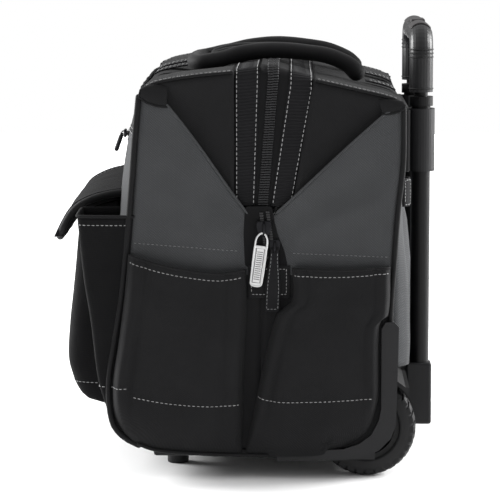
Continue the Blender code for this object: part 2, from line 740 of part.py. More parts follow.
def build_upper_bracket():
    up = Vector((0, 0, 1))
    low_z, high_z = 301, 366
    bracket = box("upper_bracket", (141.4, -118, low_z), (150, 118, high_z), "black_plastic")
    bevelled(bracket, 2)
    for side, suffix in SIDES:
        sleeve = cylinder(
            "sleeve_" + suffix, (TUBE_X, side * TUBE_Y, (low_z + high_z) / 2), up, 14.5, high_z - low_z, cutter=True
        )
        combine(bracket, sleeve, "UNION")
    for side, suffix in SIDES:
        bore = cylinder(
            "sleeve_bore_" + suffix, (TUBE_X, side * TUBE_Y, (low_z + high_z) / 2), up,
            OUTER_TUBE[0] + GAP, high_z - low_z + 20, cutter=True,
        )
        combine(bracket, bore)


def build_grip():
    sleeve_bottom, top = 383, 441.5
    half = [(TUBE_X, -TUBE_Y, sleeve_bottom), (TUBE_X, -TUBE_Y, top)]
    path = rounded(half + [(x, -y, z) for x, y, z in reversed(half)], 22, steps=10)
    grip = smooth(pipe("grip", path, 12.3, "black_plastic", resolution=10))
    for side, suffix in SIDES:
        socket = cylinder(
            "grip_socket_" + suffix, (TUBE_X, side * TUBE_Y, 404.5), Vector((0, 0, 1)),
            INNER_TUBE[0] + GAP, 46, cutter=True,
        )
        combine(grip, socket)
    reach_x = BUTTON["half_x"] + GAP
    reach_y = BUTTON["half_y"] + GAP
    travel_floor = BUTTON["low"] - 5
    recess = box(
        "button_recess", (TUBE_X - reach_x, -reach_y, travel_floor), (TUBE_X + reach_x, reach_y, 470), cutter=True
    )
    combine(grip, recess)
    button = box(
        "release_button", (TUBE_X - BUTTON["half_x"], -BUTTON["half_y"], BUTTON["low"]),
        (TUBE_X + BUTTON["half_x"], BUTTON["half_y"], BUTTON["high"]), "black_plastic",
    )
    bevelled(button, 1.5)


# ---------------------------------------------------------------- assembly


def recentre():
    for obj in [*PARTS.objects, *CUTTERS.objects]:
        obj.location.x -= CENTRE_X / 1000


clear_scene()
make_materials()
PARTS = new_collection("wheeled_ball_bag")
CUTTERS = new_collection("cutters", hidden=True)

build_walls()
build_base_tray()
build_ball_cradle()
build_wheel_carrier()
build_front_pockets()
build_cargo_flap()
build_front_zip()
build_top_panels()
build_mouth_bands()
build_mouth_bow("mouth_bow_front", -16.5, -16.5, 408.4, STRIP_Y - 3.6)
build_mouth_bow("mouth_bow_rear", 17.0, 36.6, 403, 216.6)
build_sliders()
build_carry_handle("carry_handle_rear", REAR_HANDLE)
build_carry_handle("carry_handle_front", FRONT_HANDLE)
build_handle_mount("handle_mount_rear", REAR_ARCH, 136, 122, 104.5, REAR_HANDLE["leg_y"])
build_handle_mount("handle_mount_front", FRONT_ARCH, -118, -98, -63, FRONT_HANDLE["leg_y"])
build_upper_bracket()
build_grip()
for side, suffix in SIDES:
    build_end_wall(side, suffix)
    build_end_pocket(side, suffix, "front", FRONT_END_POCKET, (-130, -24), 46)
    build_end_pocket(side, suffix, "rear", REAR_END_POCKET, (32, 110), 60)
    build_corner_guard(side, suffix)
    build_foot(side, suffix)
    build_zip_stop(side, suffix)
    build_keeper_tab(side, suffix)
    build_pivot_pin(side, suffix)
    build_wheel(side, suffix)
    build_trolley_side(side, suffix)
recentre()
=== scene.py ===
"""Looks of a wheeled soft bag with a wide zip mouth, a trolley handle and outside pockets.

Lengths in this file are millimetres until a mesh is made. X points to the back and is counted from near the
mouth's rivets, Y points to the far end from the middle of the bag, and Z is up from the floor.
"""

import json
import math

import bmesh
import bpy
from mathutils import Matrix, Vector, noise


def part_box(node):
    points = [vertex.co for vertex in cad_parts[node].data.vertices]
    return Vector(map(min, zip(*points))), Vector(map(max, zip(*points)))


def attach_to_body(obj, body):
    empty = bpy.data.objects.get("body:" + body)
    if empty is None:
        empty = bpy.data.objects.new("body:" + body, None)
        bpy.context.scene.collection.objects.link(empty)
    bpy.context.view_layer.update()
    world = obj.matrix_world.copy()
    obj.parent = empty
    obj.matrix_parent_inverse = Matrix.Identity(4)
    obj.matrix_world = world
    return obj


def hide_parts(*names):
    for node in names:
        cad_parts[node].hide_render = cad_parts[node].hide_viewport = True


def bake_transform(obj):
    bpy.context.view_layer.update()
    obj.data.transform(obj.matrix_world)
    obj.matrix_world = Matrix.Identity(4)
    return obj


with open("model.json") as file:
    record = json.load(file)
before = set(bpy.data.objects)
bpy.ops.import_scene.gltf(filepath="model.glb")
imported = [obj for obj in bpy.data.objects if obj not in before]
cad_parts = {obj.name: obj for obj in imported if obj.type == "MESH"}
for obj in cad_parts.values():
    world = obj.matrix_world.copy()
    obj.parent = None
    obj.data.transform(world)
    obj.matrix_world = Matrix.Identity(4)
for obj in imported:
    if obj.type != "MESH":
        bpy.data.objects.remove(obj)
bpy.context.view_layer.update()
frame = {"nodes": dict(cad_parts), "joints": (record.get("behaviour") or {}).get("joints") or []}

MM = 0.001
SIDES = ((-1, "near"), (1, "far"))


# ---------------------------------------------------------------- measures from the frame


def joint(name):
    return next(j for j in frame["joints"] if j["name"] == name)


RIVET_X = -5.0
SHIFT = Vector((joint("mouth_front_hinge")["pos_m"][0] / MM - RIVET_X, 0, 0))


def to_frame(x, y, z):
    """A point of this file, in the frame's metres."""
    return (Vector((x, y, z)) + SHIFT) * MM


def low(node, axis):
    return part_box(node)[0][axis] / MM - SHIFT[axis]


def high(node, axis):
    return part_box(node)[1][axis] / MM - SHIFT[axis]


def middle_of(node, axis):
    return (low(node, axis) + high(node, axis)) / 2


HALF = high("end_wall_far", 1)  # outer face of an end wall
FACE = low("zip_stop_far", 1)  # what sits on an end wall starts here
POCKET_FACE = high("end_pocket_far_front", 1)
STRIP_FACE = high("mouth_strip_front", 1)
FOOT_Z = low("mouth_strip_front", 2)
TAPE_Z = low("zip_half_front", 2)
WALL_TOP = high("front_wall", 2)
WALL_LOW = low("front_wall", 2)
BACK_TOP = high("back_wall", 2)
BACK_LOW = low("back_wall", 2)
ZIP_Z = middle_of("front_zip", 2)
CARGO_HALF = high("cargo_pocket", 1)
CARGO_TOP = high("cargo_pocket", 2)
SIDE_INNER = low("side_pocket_far", 1)
SIDE_TOP = high("side_pocket_far", 2)
FLAP_HALF = high("cargo_flap", 1)
WHEEL_X = middle_of("wheel_near_tyre", 0)
WHEEL_R = high("wheel_near_tyre", 2) / 2
TUBE_NEAR = low("outer_tube_far", 1)  # inner side of a trolley tube

WALL_REACH = HALF - 3.5  # how far the front and back walls reach from mid-length
TOP_REACH = HALF - 2.0  # and the top fabric
CANVAS_THICK = 2.6

# (Z, X) along the outside of the bag, bottom to top.
FRONT_LINE = [
    (31.3, -113), (42.5, -139), (58, -149), (98, -153), (160, -146), (240, -136), (330, -129), (391, -122),
]
BACK_LINE = [(113, 147), (140, 148.3), (190, 146), (250, 140.5), (300, 138.5), (345, 139.3), (376, 137.5)]
END_LEFT = [
    (31.5, -119), (42, -139), (58, -150.6), (96, -154), (138, -148), (181, -141), (223, -136.5), (300, -130),
    (352, -126), (393, -122),
]
END_RIGHT = [
    (31.5, 104), (36, 118), (50, 126), (159, 125.8), (224, 129.7), (272, 133), (319, 137.8), (376.5, 138),
]
NOTCH_LEFT = [(268, -15.5), (280.3, -24.5), (378.5, -97), (382, -112), (393, -121)]
NOTCH_RIGHT = [(267.8, 10), (369, 120), (376.5, 137)]
NOTCH_FOOT = 268
END_TOPS = {"left": 391.5, "right": 376.3}
CANVAS_FOOT = 206  # the end panel is black cloth below this
MIDDLE_X = -3

# (X, Z) of the top fabric beside the mouth, and of the lower edge of its gusset.
FRONT_ARCH = [(-121.5, 394.5), (-108, 401), (-72, 407.5), (-30, 411.8)]
FRONT_GUSSET = [(-121.5, 386), (-111.6, 381), (-96.4, 377), (-29.9, 287)]
REAR_ARCH = [(49.5, 404), (92, 394.5), (127, 386), (138.6, 380)]
REAR_GUSSET = [(49.5, 282), (119.6, 362), (138.6, 373)]
BAND_CORNER = 12.0  # radius of the bends where the mouth bands turn over the top
MOUTH_LEAN = 0.164  # the rear strip leans back by this much of its height
BAND_SAG = 2.6  # how far the top hangs between the two ends
GRIP_DENT = 7.0  # how far the rear handle's grip presses into the front top fabric
KEEPER_RISE = 8.0  # how far a keeper tab stands off the back panel
HANDLE_LEG_Y = {"front": 38, "rear": 70}

# Mouth bands: X at the foot and at the top, then Z at the top, for the two edges of each.
BANDS = {
    "mouth_strip_front": ((-29.0, -29.5, 411.6), (-9.0, -4.6, 415.0)),
    "zip_half_front": ((-8.6, -4.2, 415.1), (-2.2, 8.4, 416.6)),
    "zip_half_rear": ((-1.4, 9.7, 416.6), (4.9, 23.4, 412.6)),
    "mouth_strip_rear": ((6.7, 24.8, 412.0), (27.9, 48.9, 404.8)),
}

# Two bodies that a soft piece lies between, and the points where a bend between them would start and stop.
# attach makes no bend and leaves the piece fixed where it stands, on neither body.
FRONT_MOUTH = ("carcass", "mouth_front", (-118, 0, 395), (-30, 0, 412))
REAR_MOUTH = ("carcass", "mouth_rear", (134, 0, 384), (50, 0, 404))


# ---------------------------------------------------------------- small helpers


def clamp(value, least=0.0, most=1.0):
    return max(least, min(most, value))


def between(a, b, share):
    return a + (b - a) * share


def smoothstep(value):
    value = clamp(value)
    return value * value * (3 - 2 * value)


def curve_at(line, t):
    """The second value of a list of (t, value) pairs at t, along a smooth curve through them."""
    if t <= line[0][0]:
        return line[0][1]
    for k in range(len(line) - 1):
        (t0, v0), (t1, v1) = line[k], line[k + 1]
        if t > t1:
            continue
        before = line[max(0, k - 1)]
        after = line[min(len(line) - 1, k + 2)]
        step = t1 - t0
        slope0 = (v1 - before[1]) / (t1 - before[0])
        slope1 = (after[1] - v0) / (after[0] - t0)
        s = (t - t0) / step
        return (
            (2 * s**3 - 3 * s**2 + 1) * v0
            + (s**3 - 2 * s**2 + s) * step * slope0
            + (3 * s**2 - 2 * s**3) * v1
            + (s**3 - s**2) * step * slope1
        )
    return line[-1][1]


def ripple(x, y, z, size, seed=0.0):
    """Smooth random number from -1 to 1 that changes over about size millimetres."""
    return noise.noise(Vector((x / size + seed, y / size - seed, z / size + 2 * seed)))


def steps(first, last, pitch):
    count = max(2, round(abs(last - first) / pitch))
    return [between(first, last, k / count) for k in range(count + 1)]


def stand_for(node):
    """Lets a visual piece take a CAD node's place."""
    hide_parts(node)


def attach(piece, home):
    """home is a body's name, or two bodies and two points for a blend between them. The blend is not made:
    such a piece is only fixed where it stands.
    """
    if isinstance(home, str):
        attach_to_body(piece, home)
    else:
        first, second, start, end = home
        to_frame(*start)
        to_frame(*end)
        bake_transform(piece)
    return piece


def make_piece(name, points, faces, material, home, smooth=True):
    mesh = bpy.data.meshes.new(name)
    mesh.from_pydata([to_frame(*point) for point in points], [], faces)
    mesh.validate()
    mesh.polygons.foreach_set("use_smooth", [smooth] * len(mesh.polygons))
    mesh.materials.append(material)
    piece = bpy.data.objects.new(name, mesh)
    bpy.context.scene.collection.objects.link(piece)
    if home is not None:
        attach(piece, home)
    return piece


def grid_faces(rows, columns, wrap=False):
    """The faces between rows of points; wrap closes each row into a ring."""
    faces = []
    last = columns if wrap else columns - 1
    for i in range(rows - 1):
        here, above = i * columns, (i + 1) * columns
        for j in range(last):
            k = (j + 1) % columns
            faces.append((here + j, here + k, above + k, above + j))
    return faces


def thicken(piece, thick):
    """Gives a sheet its cloth thickness on the side away from its normals."""
    solid = piece.modifiers.new("thickness", "SOLIDIFY")
    solid.thickness = abs(thick) * MM
    solid.offset = -1 if thick > 0 else 1
    solid.use_even_offset = False
    return piece


def face_outward(piece):
    """Turns a sheet's faces over if, on the whole, they look towards the middle of the bag."""
    middle = to_frame(0, 0, 200)
    total = sum((face.center - middle).dot(face.normal) * face.area for face in piece.data.polygons)
    if total < 0:
        piece.data.flip_normals()
    return piece


def sheet(name, rows, material, home, thick=2.0):
    """A cloth sheet through rows of points, with its thickness on the inside."""
    points = [point for row in rows for point in row]
    piece = make_piece(name, points, grid_faces(len(rows), len(rows[0])), material, None)
    face_outward(piece)
    attach(piece, home)
    return thicken(piece, thick)


def eased(path, passes):
    """The path with its corners rounded by averaging neighbours."""
    for _ in range(passes):
        middle = [(a + b * 2 + c) / 4 for a, b, c in zip(path, path[1:], path[2:])]
        path = [path[0]] + middle + [path[-1]]
    return path


def path_frames(path):
    """A tangent, a side and an up direction at each point of a path, with no twist between them."""
    path = [Vector(p) for p in path]
    frames = []
    side = None
    for k, point in enumerate(path):
        tangent = (path[min(k + 1, len(path) - 1)] - path[max(k - 1, 0)]).normalized()
        if side is None:
            side = tangent.orthogonal().normalized()
        side = (side - tangent * side.dot(tangent)).normalized()
        frames.append((point, tangent, side, tangent.cross(side)))
    return frames


def tube(name, path, radius, material, home, around=12, shape=None):
    """A round rod along a path with domed ends. shape(share, direction) scales its radius."""
    frames = path_frames(path)
    rings = []
    dome = 4
    for k in range(dome):
        angle = math.pi / 2 * k / dome
        rings.append((0, -radius * math.cos(angle), math.sin(angle)))
    rings += [(k, 0, 1) for k in range(len(frames))]
    for k in range(dome - 1, -1, -1):
        angle = math.pi / 2 * k / dome
        rings.append((len(frames) - 1, radius * math.cos(angle), math.sin(angle)))
    points = []
    for index, ahead, scale in rings:
        centre, tangent, side, up = frames[index]
        share = index / (len(frames) - 1)
        for j in range(around):
            turn = 2 * math.pi * j / around
            direction = side * math.cos(turn) + up * math.sin(turn)
            reach = radius * max(scale, 0.02) * (shape(share, direction) if shape else 1)
            points.append(centre + tangent * ahead + direction * reach)
    faces = grid_faces(len(rings), around, wrap=True)
    last = len(points) - around
    faces.append(tuple(range(around - 1, -1, -1)))
    faces.append(tuple(range(last, last + around)))
    return make_piece(name, points, faces, material, home)


def fine_path(points, pitch=3.0):
    """A smooth curve through the points, with a point every pitch millimetres."""
    points = [Vector(p) for p in points]
    lengths = [0.0]
    for a, b in zip(points, points[1:]):
        lengths.append(lengths[-1] + (b - a).length)
    lines = [[(t, p[axis]) for t, p in zip(lengths, points)] for axis in range(3)]
    return [Vector([curve_at(line, t) for line in lines]) for t in steps(0, lengths[-1], pitch)]


def stitches(name, path, material, home, pitch=4.6, length=3.0, radius=0.42):
    """A row of separate stitches along a path, each a short thread that dips into the cloth at both ends."""
    path = [Vector(p) for p in path]
    lengths = [0.0]
    for a, b in zip(path, path[1:]):
        lengths.append(lengths[-1] + (b - a).length)
    total = lengths[-1]

    def at(distance):
        distance = clamp(distance, 0, total)
        k = 0
        while k < len(lengths) - 2 and lengths[k + 1] < distance:
            k += 1
        span = lengths[k + 1] - lengths[k] or 1
        return path[k].lerp(path[k + 1], (distance - lengths[k]) / span)

    points, faces = [], []
    around = 6
    thread = ((0, 0.25), (0.15, 0.85), (0.5, 1.0), (0.85, 0.85), (1, 0.25))  # shares of its length and width
    for n in range(max(1, int(total / pitch))):
        start = n * pitch + (pitch - length) / 2
        a, b = at(start), at(start + length)
        along = b - a
        if along.length < 0.1:
            continue
        side = along.orthogonal().normalized()
        up = along.normalized().cross(side)
        first = len(points)
        for share, scale in thread:
            centre = a.lerp(b, share)
            for j in range(around):
                turn = 2 * math.pi * j / around
                points.append(centre + (side * math.cos(turn) + up * math.sin(turn)) * radius * scale)
        faces += [tuple(first + v for v in face) for face in grid_faces(len(thread), around, wrap=True)]
        faces.append(tuple(first + j for j in range(around - 1, -1, -1)))
        faces.append(tuple(first + (len(thread) - 1) * around + j for j in range(around)))
    return make_piece(name, points, faces, material, home)


def box_of_stitches(name, put, corners, lift, home, pitch, length, radius):
    """Pale stitches along the straight lines between the corners, on the surface that put describes."""
    line = []
    for (u0, v0), (u1, v1) in zip(corners, corners[1:] + corners[:1]):
        line += [put(between(u0, u1, t), between(v0, v1, t), lift) for t in (0, 0.25, 0.5, 0.75)]
    stitches(name, line + line[:1], THREAD, home, pitch, length, radius)


def slab(name, outline, thick, material, home, place, bevel=0.4):
    """A flat plate with rounded edges. place(u, v, w) puts a point of it in the bag's frame."""
    count = len(outline)
    points = [place(u, v, 0) for u, v in outline] + [place(u, v, thick) for u, v in outline]
    faces = [tuple(range(count - 1, -1, -1)), tuple(range(count, 2 * count))]
    faces += [(k, (k + 1) % count, count + (k + 1) % count, count + k) for k in range(count)]
    piece = make_piece(name, points, faces, material, home, smooth=False)
    repair_normals(piece)
    round_edges(piece, bevel)
    return piece


def repair_normals(piece):
    work = bmesh.new()
    work.from_mesh(piece.data)
    bmesh.ops.recalc_face_normals(work, faces=work.faces)
    work.to_mesh(piece.data)
    work.free()


def round_edges(piece, width, segments=2, angle=35):
    bevel = piece.modifiers.new("edges", "BEVEL")
    bevel.width = width * MM
    bevel.segments = segments
    bevel.limit_method = "ANGLE"
    bevel.angle_limit = math.radians(angle)
    bevel.harden_normals = False
    return piece


def rounded_corners(outline, radius, count=4):
    """The closed outline with each corner replaced by an arc."""
    result = []
    size = len(outline)
    for k in range(size):
        corner = Vector(outline[k])
        before = Vector(outline[k - 1]) - corner
        after = Vector(outline[(k + 1) % size]) - corner
        reach = min(radius, before.length * 0.45, after.length * 0.45)
        a = corner + before.normalized() * reach
        b = corner + after.normalized() * reach
        for step in range(count + 1):
            t = step / count
            result.append(tuple(a * (1 - t) ** 2 + corner * 2 * t * (1 - t) + b * t * t))
    return result


# ---------------------------------------------------------------- materials


def linear(hex_colour):
    """A hex colour, as it looks on a screen, as the linear values that the renderer takes."""
    values = [int(hex_colour[k : k + 2], 16) / 255 for k in (0, 2, 4)]
    return [v / 12.92 if v <= 0.04045 else ((v + 0.055) / 1.055) ** 2.4 for v in values] + [1.0]


class Surface:
    """Builds one material's nodes. Textures are placed by the bag's own coordinates, in millimetres."""

    def __init__(self, name):
        self.material = bpy.data.materials.new(name)
        self.material.use_nodes = True
        self.tree = self.material.node_tree
        self.shader = self.tree.nodes["Principled BSDF"]
        place = self.node("ShaderNodeTexCoord").outputs["Object"]
        self.place = self.scaled(place, (1000, 1000, 1000))

    def node(self, kind, inputs=None, **settings):
        made = self.tree.nodes.new(kind)
        for key, value in settings.items():
            setattr(made, key, value)
        for key, value in (inputs or {}).items():
            if isinstance(value, bpy.types.NodeSocket):
                self.tree.links.new(value, made.inputs[key])
            else:
                made.inputs[key].default_value = value
        return made

    def scaled(self, vector, factors):
        return self.node("ShaderNodeVectorMath", {0: vector, 1: factors}, operation="MULTIPLY").outputs[0]

    def math(self, operation, a, b=0.0, c=0.0):
        return self.node("ShaderNodeMath", {0: a, 1: b, 2: c}, operation=operation).outputs[0]

    def roughness(self, pattern, middle, spread):
        """Roughness that varies by spread about a middle value as the pattern goes from 0 to 1."""
        return self.math("MULTIPLY_ADD", pattern, spread, middle - spread / 2)

    def noise(self, size, detail=3.0, roughness=0.55):
        inputs = {"Vector": self.place, "Scale": 1 / size, "Detail": detail, "Roughness": roughness}
        return self.node("ShaderNodeTexNoise", inputs).outputs["Fac"]

    def cells(self, size):
        inputs = {"Vector": self.place, "Scale": 1 / size}
        return self.node("ShaderNodeTexVoronoi", inputs).outputs["Distance"]

    def waves(self, direction, period):
        """Ridges from 0 to 1 across a direction, one every period millimetres."""
        along = self.node("ShaderNodeVectorMath", {0: self.place, 1: direction}, operation="DOT_PRODUCT")
        turns = self.math("MULTIPLY", along.outputs["Value"], 2 * math.pi / period)
        return self.math("MULTIPLY_ADD", self.math("SINE", turns), 0.5, 0.5)

    def blend_colour(self, share, first, second):
        mix = self.node("ShaderNodeMix", {0: share}, data_type="RGBA")
        for index, value in ((6, first), (7, second)):
            if isinstance(value, bpy.types.NodeSocket):
                self.tree.links.new(value, mix.inputs[index])
            else:
                mix.inputs[index].default_value = value
        return mix.outputs[2]

    def bump(self, height, depth, below=None):
        """Bump of a height from 0 to 1 that stands depth millimetres high."""
        inputs = {"Height": height, "Distance": depth * MM, "Strength": 1.0}
        if below is not None:
            inputs["Normal"] = below
        return self.node("ShaderNodeBump", inputs).outputs["Normal"]

    def finish(self, **sockets):
        names = {
            "colour": "Base Color", "roughness": "Roughness", "metallic": "Metallic", "normal": "Normal",
            "sheen": "Sheen Weight", "sheen_roughness": "Sheen Roughness", "specular": "Specular IOR Level",
            "coat": "Coat Weight", "coat_roughness": "Coat Roughness",
            "glow": "Emission Strength", "glow_colour": "Emission Color",
        }
        for key, value in sockets.items():
            socket = self.shader.inputs[names[key]]
            if isinstance(value, bpy.types.NodeSocket):
                self.tree.links.new(value, socket)
            else:
                socket.default_value = value
        return self.material


def woven(name, colour, pale, twill, period, depth, sheen, roughness=0.85):
    """Cloth: crossed threads, slow shade changes, and small flecks of paler thread."""
    s = Surface(name)
    warp = s.waves(twill, period)
    weft = s.waves((twill[2], -twill[1], -twill[0]), period * 0.8)
    thread = s.math("MULTIPLY", warp, weft)
    slow = s.noise(60, 3)
    fleck = s.noise(1.6, 2, 0.7)
    shade = s.math("ADD", s.math("MULTIPLY", slow, 0.45), s.math("MULTIPLY", thread, 0.55))
    base = s.blend_colour(shade, linear(colour), linear(pale))
    fleck_share = s.math("MULTIPLY", s.math("GREATER_THAN", fleck, 0.66), 0.25)
    base = s.blend_colour(fleck_share, base, linear(pale))
    normal = s.bump(s.noise(14, 4), depth * 2.5)
    normal = s.bump(thread, depth, normal)
    normal = s.bump(fleck, depth * 0.6, normal)
    rough = s.roughness(s.noise(20), roughness, 0.16)
    return s.finish(
        colour=base, roughness=rough, normal=normal, sheen=sheen, sheen_roughness=0.45, specular=0.12
    )


def moulded(name, colour, pale, roughness, grain=0.9, depth=0.05, coat=0.0):
    """Moulded plastic or rubber: fine spark-eroded grain, and rubbed, duller patches."""
    s = Surface(name)
    fine = s.cells(grain)
    wear = s.noise(25, 5, 0.65)
    base = s.blend_colour(s.math("MULTIPLY", wear, 0.8), linear(colour), linear(pale))
    rough = s.roughness(wear, roughness, 0.22)
    normal = s.bump(fine, depth)
    normal = s.bump(wear, depth * 1.5, normal)
    return s.finish(
        colour=base, roughness=rough, normal=normal, coat=coat, coat_roughness=0.25, specular=0.3
    )


def metal(name, colour, pale, roughness):
    """Plated metal with faint brush lines and finger marks."""
    s = Surface(name)
    stretched = s.scaled(s.place, (0.2, 0.2, 3.0))
    brush = s.node("ShaderNodeTexNoise", {"Vector": stretched, "Scale": 1.2, "Detail": 4.0}).outputs["Fac"]
    marks = s.noise(9, 4)
    base = s.blend_colour(marks, linear(colour), linear(pale))
    rough = s.roughness(marks, roughness, 0.25)
    return s.finish(colour=base, roughness=rough, metallic=1.0, normal=s.bump(brush, 0.02))


def enamel(name, colour, pale):
    """Satin paint on a tube: slight orange peel under a thin clear coat, with small scuffs."""
    s = Surface(name)
    scuff = s.math("GREATER_THAN", s.noise(3.5, 5, 0.75), 0.68)
    base = s.blend_colour(s.math("MULTIPLY", scuff, 0.5), linear(colour), linear(pale))
    rough = s.roughness(s.noise(12), 0.38, 0.2)
    return s.finish(
        colour=base, roughness=rough, normal=s.bump(s.noise(2.2, 2), 0.02), coat=0.04, coat_roughness=0.3,
        specular=0.2,
    )


def thread_material(name, colour, pale):
    """Sewing thread: twisted strands, with dirtier stretches."""
    s = Surface(name)
    twist = s.waves((1, 1, 1), 0.7)
    dirt = s.noise(18, 3)
    base = s.blend_colour(dirt, linear(colour), linear(pale))
    return s.finish(colour=base, roughness=0.8, normal=s.bump(twist, 0.06), sheen=0.3)


def foam_material(name):
    """Open-cell foam."""
    s = Surface(name)
    cells = s.cells(1.8)
    base = s.blend_colour(cells, linear("1d1e20"), linear("3a3c40"))
    return s.finish(colour=base, roughness=0.95, normal=s.bump(cells, 0.4))


DIAGONAL = (0.8, 0.6, 1.0)

# name, colour, paler colour, twill direction, thread period, depth of the weave, sheen, roughness
CANVAS = woven("grey_canvas_weave", "343536", "4b4c4e", DIAGONAL, 2.6, 0.16, 0.06)
BLACK = woven("black_nylon_weave", "131314", "252526", (0.55, 1.0, 0.9), 1.7, 0.12, 0.02)
# Painted shade: a darker copy of the black nylon, worn by the front pouches and the flap lid so that they
# look as dark as they do in the shade they sit in.
SHADED_BLACK = woven("black_nylon_painted_shade", "0a0a0b", "171718", (0.1, 1.0, 0.9), 1.7, 0.12, 0.0)
SMOOTH = woven("black_padded_fabric", "121213", "1e1e1f", (0.3, 1.0, 0.4), 0.9, 0.05, 0.04, 0.7)
WEBBING = woven("black_webbing", "131314", "222224", (0.05, 1.0, 0.9), 1.1, 0.08, 0.03)
PIPING = woven("black_piping", "101011", "1d1d1e", (0.5, 1.0, 0.8), 1.0, 0.06, 0.03, 0.6)
TAPE = woven("zip_tape", "0e0e0f", "19191a", (1.0, 0.1, 0.1), 1.3, 0.08, 0.02)
PLASTIC = moulded("black_moulded_plastic", "0f0f11", "19191b", 0.52)
DARK_PLASTIC = moulded("dark_carrier_plastic", "0c0c0d", "151516", 0.62)
GRIP_PLASTIC = moulded("grip_plastic", "131314", "202022", 0.4, 0.7, 0.03, 0.08)
BUTTON_PLASTIC = moulded("button_plastic", "2a2829", "3c393a", 0.45, 0.7, 0.02)
RUBBER = moulded("tyre_rubber_grain", "131314", "232324", 0.66, 1.2, 0.09)
TEETH = moulded("zip_teeth_nylon", "151516", "2c2c2e", 0.28, 0.6, 0.02)
ENAMEL = enamel("tube_black_enamel", "040405", "121213")
STEEL = metal("dark_steel", "6a6a6c", "8d8d8f", 0.38)
BLACK_STEEL = metal("black_plated_steel", "1b1b1d", "303032", 0.42)
NICKEL = metal("brushed_nickel", "b6b6b6", "dcdcdc", 0.34)
THREAD = thread_material("pale_thread", "747475", "a9a9a9")
GREY_THREAD = thread_material("grey_thread", "565759", "828384")
FOAM = foam_material("cradle_foam")


# ---------------------------------------------------------------- the bag's shell


def front_bulge(y, z):
    """How far the filled bag pushes its front wall out."""
    across = 1 - clamp(abs(y) / HALF) ** 4
    up = max(0.0, 1 - ((z - 250) / 170) ** 2)
    return 18 * across * up


def front_point(y, z, lift=0.0):
    """A point on the front wall, lift millimetres outside it."""
    wrinkle = 1.4 * ripple(0, y, z * 0.6, 42, 3.1) * (1 - (abs(y) / HALF) ** 6)
    return Vector((curve_at(FRONT_LINE, z) - front_bulge(y, z) - wrinkle - lift, y, z))


def back_point(y, z, lift=0.0):
    """The back panel turns in to the end panels, and swells between the trolley tubes below their bracket."""
    turn = clamp((abs(y) - (HALF - 34)) / 30) ** 2
    edge = curve_at(END_RIGHT, z) + 1.5
    below_bracket = smoothstep((z - 100) / 50) * smoothstep((300 - z) / 60)
    swell = 9.5 * smoothstep((TUBE_NEAR - abs(y)) / 40) * below_bracket
    flat = curve_at(BACK_LINE, z) - 0.6 + swell
    soft = 0.7 * ripple(9, y, z * 0.5, 30, 1.7) * (1 - turn)
    fold = 0.8 * math.sin(y / 6.5) * clamp((abs(y) - 150) / 40) * (1 - turn)
    return Vector((between(flat, edge, turn) + soft + fold + lift, y, z))


def crease(x, z, start, end, width):
    """From 0 to 1: nearness to the line between two (x, z) points, fading out at the line's ends."""
    along = Vector(end) - Vector(start)
    offset = Vector((x, z)) - Vector(start)
    share = offset.dot(along) / along.length_squared
    away = abs(offset.x * along.y - offset.y * along.x) / along.length
    fade = smoothstep(share / 0.25) * smoothstep((1 - share) / 0.25)
    return math.exp(-((away / width) ** 2)) * fade


# Folds of the canvas on an end panel: height, start, end and width.
END_CREASES = (
    (3.0, (14, 236), (135, 292), 11), (-2.2, (12, 258), (135, 322), 12),
    (2.4, (-135, 258), (-12, 244), 13), (-2.0, (-120, 322), (-14, 262), 14),
)


def end_bulge(x, z, side):
    """How far an end panel stands out: swollen and creased above the pockets, and falling off at its rim."""
    left, right = curve_at(END_LEFT, z), curve_at(END_RIGHT, min(z, 376))
    across = clamp((x - left) / (right - left))
    rim = min(x - left, right - x)
    fall = 3.0 * (1 - clamp(rim / 9)) ** 2
    swell = 2.6 * math.sin(math.pi * across) * math.sin(math.pi * clamp((z - 190) / 190))
    soft = 0.9 * ripple(x * 0.8, side * 50, z * 0.55, 34, 2.3) * clamp(rim / 20)
    soft += sum(height * crease(x, z, start, end, width) for height, start, end, width in END_CREASES)
    under_stop = 1 - clamp((30 - abs(x - 3)) / 8) * clamp((285 - z) / 10)
    return (swell + soft) * under_stop * clamp((z - 190) / 20) - fall


def end_point(x, z, side, lift=0.0):
    return Vector((x, side * (HALF + end_bulge(x, z, side) + lift), z))


def build_end_panel(side, suffix):
    """Grey canvas end: a left and a right half that part above the notch."""
    points, faces = [], []
    across = 22
    for half, top in END_TOPS.items():
        rows = steps(32, NOTCH_FOOT, 5) + steps(NOTCH_FOOT, top, 3.5)[1:]
        first = len(points)
        for z in rows:
            if half == "left":
                edge = MIDDLE_X if z < NOTCH_FOOT else curve_at(NOTCH_LEFT, z)
                start, stop = curve_at(END_LEFT, z), min(edge, MIDDLE_X)
            else:
                edge = MIDDLE_X if z < NOTCH_FOOT else curve_at(NOTCH_RIGHT, z)
                start, stop = max(edge, MIDDLE_X), curve_at(END_RIGHT, z)
            for k in range(across + 1):
                points.append(end_point(between(start, stop, k / across), z, side))
        order = grid_faces(len(rows), across + 1)
        faces += [tuple(first + v for v in (face if side < 0 else face[::-1])) for face in order]
    panel = make_piece("end_canvas_" + suffix, points, faces, CANVAS, "carcass")
    panel.data.materials.append(BLACK)
    for face in panel.data.polygons:
        if face.center.z / MM < CANVAS_FOOT:
            face.material_index = 1
    thicken(panel, CANVAS_THICK)
    stand_for("end_wall_" + suffix)


